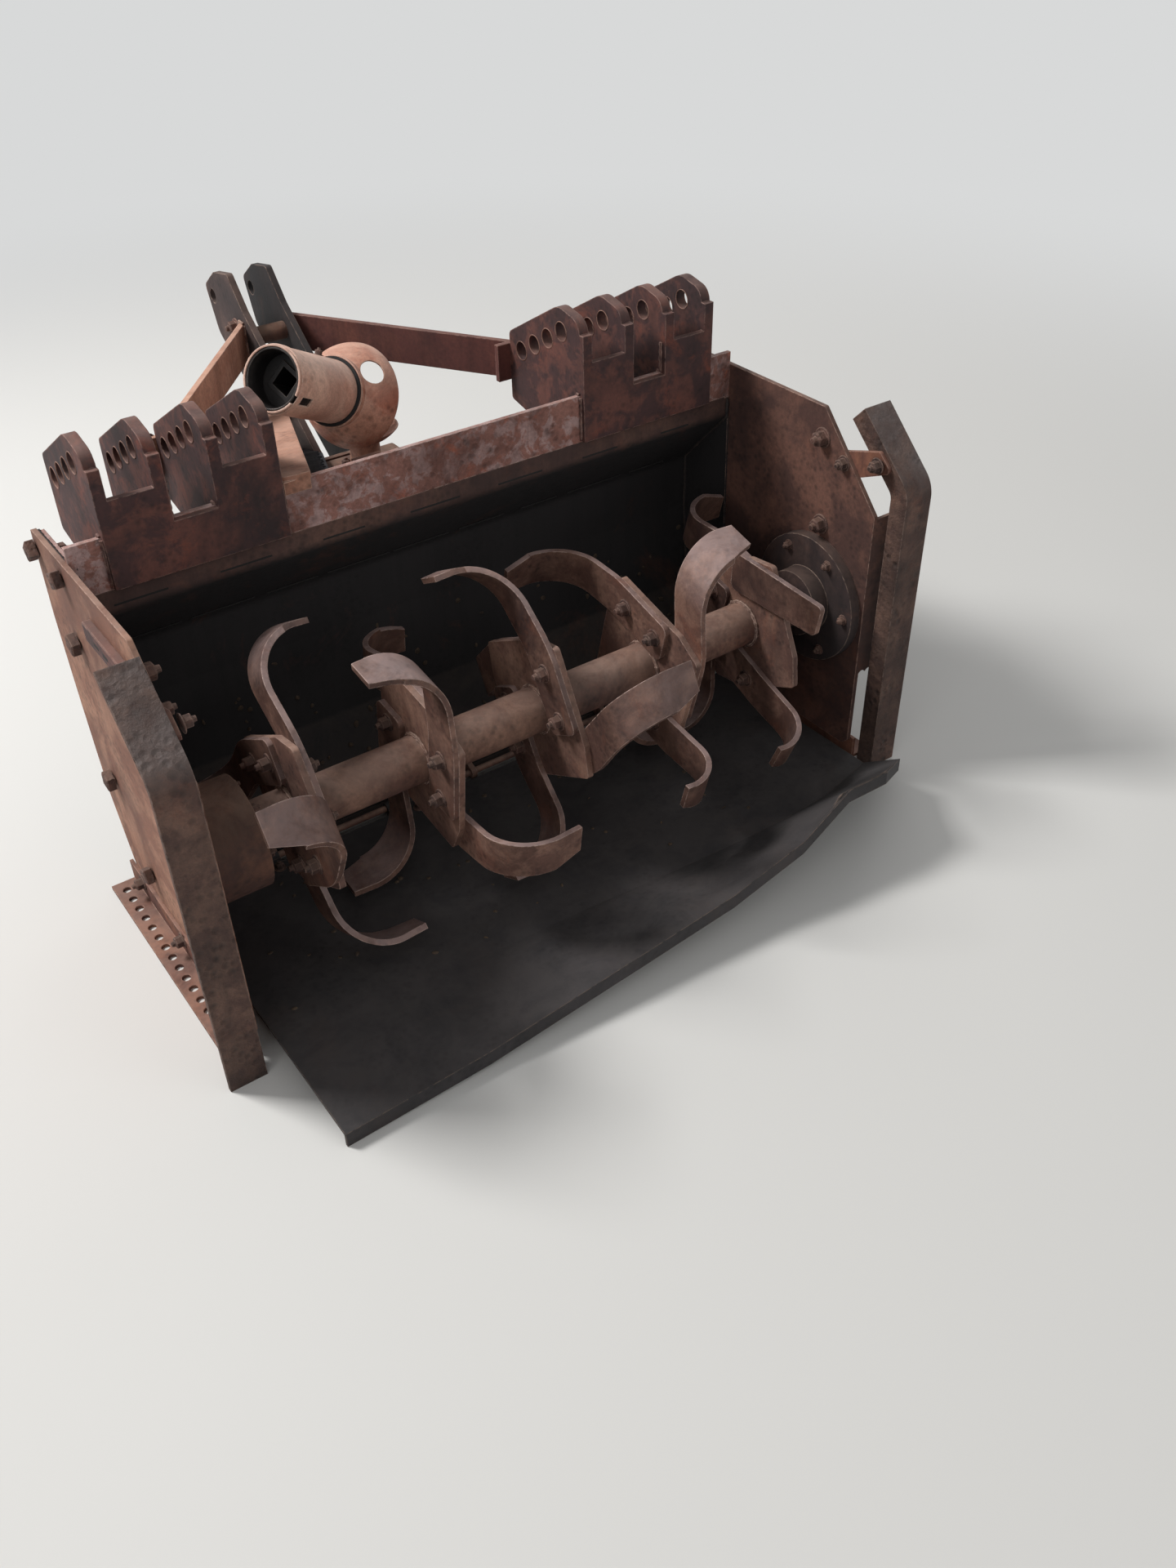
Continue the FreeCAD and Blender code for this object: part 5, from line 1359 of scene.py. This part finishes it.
@dataclass
class FlapDetails(Assembly):
    """Bolts on the flap's hinge tabs and soil caked along its fold."""

    bolt: float = 13.0
    tabs: tuple[float, ...] = (-420.0, -150.0, 150.0, 420.0)
    tab_half: float = 18.0
    tab_y: float = HINGE_Y - 36.0
    tab_z: float = HINGE_Z + 2.9
    # soil: where it starts as (y, z), how far along y it reaches, and from x to x, with z at its far end
    soil_start: Pair = (-190.0, -621.0)
    soil_end: float = -560.0
    soil: tuple[Triple, ...] = ((-560.0, -200.0, -613.0), (-200.0, 120.0, -616.0), (120.0, 360.0, -614.0))
    crumbs_a_metre: float = 130.0
    crumb: float = 6.0

    def build(self) -> None:
        """Make the pieces."""
        places = [at(tab + dx, self.tab_y, self.tab_z) for tab in self.tabs
                  for dx in (-self.tab_half, self.tab_half)]
        self.kit.hexes.make(Piece("flap_tab_bolts", Body.FLAP, "hood_sheet", "bolt_rust"),
                            fixings(places, Z_AXIS, self.bolt))
        quads = [patch(x0, x1, self.soil_start, (self.soil_end, z)) for x0, x1, z in self.soil]
        self.kit.crumbs.make(Piece("flap_soil", Body.FLAP, "hood_sheet", "dry_soil"), quads,
                             self.crumbs_a_metre, self.crumb)


@dataclass
class GuardDetails(Assembly):
    """Mouth band, liner, neck seal and screw of the driveline guard."""

    joint: Triple = (-16.0, 100.0, 16.0)
    swing: float = 210.9
    lean: float = 63.0
    tube_r: float = 50.0
    mouth: float = 252.0
    neck: float = 84.5
    screw_angle: float = 30.0
    screw_height: float = 136.0
    screw_flats: float = 10.0
    # corners of each ring: away from the tube's outside, and away from its mouth or its neck
    band: tuple[Pair, ...] = ((-0.2, -17.0), (1.4, -16.2), (1.6, -15.0), (1.6, -6.0), (1.2, -4.6),
                              (-0.2, -4.4))
    liner: tuple[Pair, ...] = ((-8.5, -48.0), (-3.4, -48.0), (-3.4, -3.0), (-4.0, -1.4), (-6.6, -1.4),
                               (-7.4, -4.0), (-8.5, -6.0))
    seal: tuple[Pair, ...] = ((0.1, 0.2), (4.6, 0.2), (5.0, 1.4), (4.2, 3.6), (2.0, 4.4), (0.1, 4.4))

    def frame(self) -> Matrix:
        """Give the matrix from the guard's own mm, tube along z, to the scene.

        Returns:
            The matrix.
        """
        swing = math.radians(self.swing)
        axis = Vector((-math.sin(swing), math.cos(swing), 0.0))
        turn = Matrix.Rotation(math.radians(self.lean), 4, axis)
        return Matrix.Translation(at(*self.joint)) @ turn @ Matrix.Scale(MM, 4)

    def build(self) -> None:
        """Make the pieces."""
        frame = self.frame()
        for name, slot, finish, corners, height, segments in (
                ("guard_mouth_band", "guard_paint", "guard_tube_paint", self.band, self.mouth, 72),
                ("guard_liner", "drive_steel", "drive_steel", self.liner, self.mouth, 60),
                # the neck seal is given the black of painted shade
                ("guard_neck_seal", "guard_paint", "slit_painted_shade", self.seal, self.neck, 60)):
            profile = [(self.tube_r + out, height + up) for out, up in corners]
            Piece(name, Body.DRIVELINE, slot, finish).turn(profile, frame, segments)
        a = math.radians(self.screw_angle)
        out = Vector((math.cos(a), math.sin(a), 0.0))
        place = frame @ (out * self.tube_r + Z_AXIS * self.screw_height)
        toward = frame.to_3x3().normalized() @ out
        self.kit.hexes.make(Piece("guard_screw", Body.DRIVELINE, "guard_paint", "bolt_rust"),
                            fixings([place], toward, self.screw_flats))


@dataclass
class Studio:
    """Floor, lamps, world and camera."""

    lens_mm: float = 31.27
    sensor_mm: float = 36.0
    camera_at: Triple = (-0.9668, -1.8224, 1.5365)
    azimuth: float = -35.0
    elevation: float = 38.0
    roll: float = -1.2
    near: float = 0.05
    far: float = 60.0
    floor_size: float = 80.0
    sky: str = "#e9ecef"
    glow: float = 0.36
    aim: Triple = (0.0, 0.0, 0.35)
    # name, place and side of the square in metres, and power in watts
    lamps: tuple[tuple[str, Triple, float, float], ...] = (
        ("key", (-2.5, 2.0, 4.2), 1.3, 260.0), ("fill", (-3.4, -3.0, 2.8), 3.2, 40.0),
        ("low", (2.2, -4.2, 1.8), 2.6, 26.0), ("side", (3.6, 2.2, 2.6), 3.0, 34.0))

    def build(self) -> None:
        """Make everything round the machine."""
        scene = bpy.context.scene
        scene.view_settings.view_transform = "Standard"
        h = self.floor_size / 2.0
        mesh = bare_mesh("studio_floor", [(-h, -h, 0), (h, -h, 0), (h, h, 0), (-h, h, 0)], [], [(0, 1, 2, 3)])
        mesh.materials.append(FloorFinish().build())
        placed("studio_floor", mesh)
        for name, place, size, power in self.lamps:
            self.lamp(name, place, size, power)
        scene.world = self.surround()
        scene.camera = self.camera()

    def camera(self) -> bpy.types.Object:
        """Set the camera where the photo was taken from.

        Returns:
            The camera.
        """
        data = bpy.data.cameras.new("photo_view")
        data.lens, data.sensor_width, data.sensor_fit = self.lens_mm, self.sensor_mm, "AUTO"
        data.clip_start, data.clip_end = self.near, self.far
        a, e = math.radians(self.azimuth), math.radians(self.elevation)
        back = Vector((math.sin(a) * math.cos(e), -math.cos(a) * math.cos(e), math.sin(e)))
        turn = (-back).to_track_quat("-Z", "Y").to_matrix().to_4x4()
        roll = Matrix.Rotation(math.radians(self.roll), 4, "Z")
        camera = placed("photo_view", data)
        camera.matrix_world = Matrix.Translation(self.camera_at) @ turn @ roll
        return camera

    def surround(self) -> bpy.types.World:
        """Make soft light from all round, seen by the camera as a pale backdrop.

        Returns:
            The world.
        """
        world = bpy.data.worlds.new("studio")
        world.use_nodes = True
        tree = world.node_tree
        tree.nodes.clear()
        glow = add(tree, "ShaderNodeBackground", {"Color": srgb(self.sky), "Strength": self.glow})
        backdrop = add(tree, "ShaderNodeBackground", {"Color": srgb(BACKDROP), "Strength": 1.0})
        path = add(tree, "ShaderNodeLightPath").outputs
        seen = path["Is Camera Ray"]
        for kind in ("Is Glossy Ray", "Is Transmission Ray"):
            seen = add(tree, "ShaderNodeMath", {"operation": "MAXIMUM", 0: seen, 1: path[kind]})
        both = add(tree, "ShaderNodeMixShader", {0: seen, 1: glow, 2: backdrop})
        add(tree, "ShaderNodeOutputWorld", {"Surface": both})
        return world

    def lamp(self, name: str, place: Triple, size: float, power: float) -> None:
        """Hang one soft square lamp that looks at the machine's middle.

        Args:
            name: the lamp's name.
            place: where it hangs, in metres.
            size: side of its square, in metres.
            power: its power in watts.
        """
        data = bpy.data.lights.new(name, "AREA")
        data.size, data.energy = size, power
        lamp = placed(name, data)
        lamp.location = place
        lamp.rotation_mode = "QUATERNION"
        lamp.rotation_quaternion = (Vector(self.aim) - Vector(place)).to_track_quat("-Z", "Y")


def dress(frame: dict) -> None:
    """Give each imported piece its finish: its own where it has one, or else its slot's.
    """
    slots = {row["node"]: row["material_slot"] for row in frame["record"]["subparts"]}
    for name, node in frame["nodes"].items():
        finish = material(NODE_FINISH.get(name, slots[name]))
        node.data.materials.clear()
        node.data.materials.append(finish)
        LOG.info("%s: %s", name, finish.name)


def main() -> None:
    """Build the scene."""
    logging.basicConfig(level=logging.INFO, format="%(name)s: %(message)s")
    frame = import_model()
    Studio().build()
    dress(frame)
    kit = Kit()
    for assembly in (BodyPlates, HitchWelds, MastFastenings, DriveFastenings, HoodDetails, RotorFastenings,
                     FlapDetails, GuardDetails):
        assembly(kit).build()
        LOG.info("%s is on", assembly.__name__)


if __name__ == "__main__":
    main()
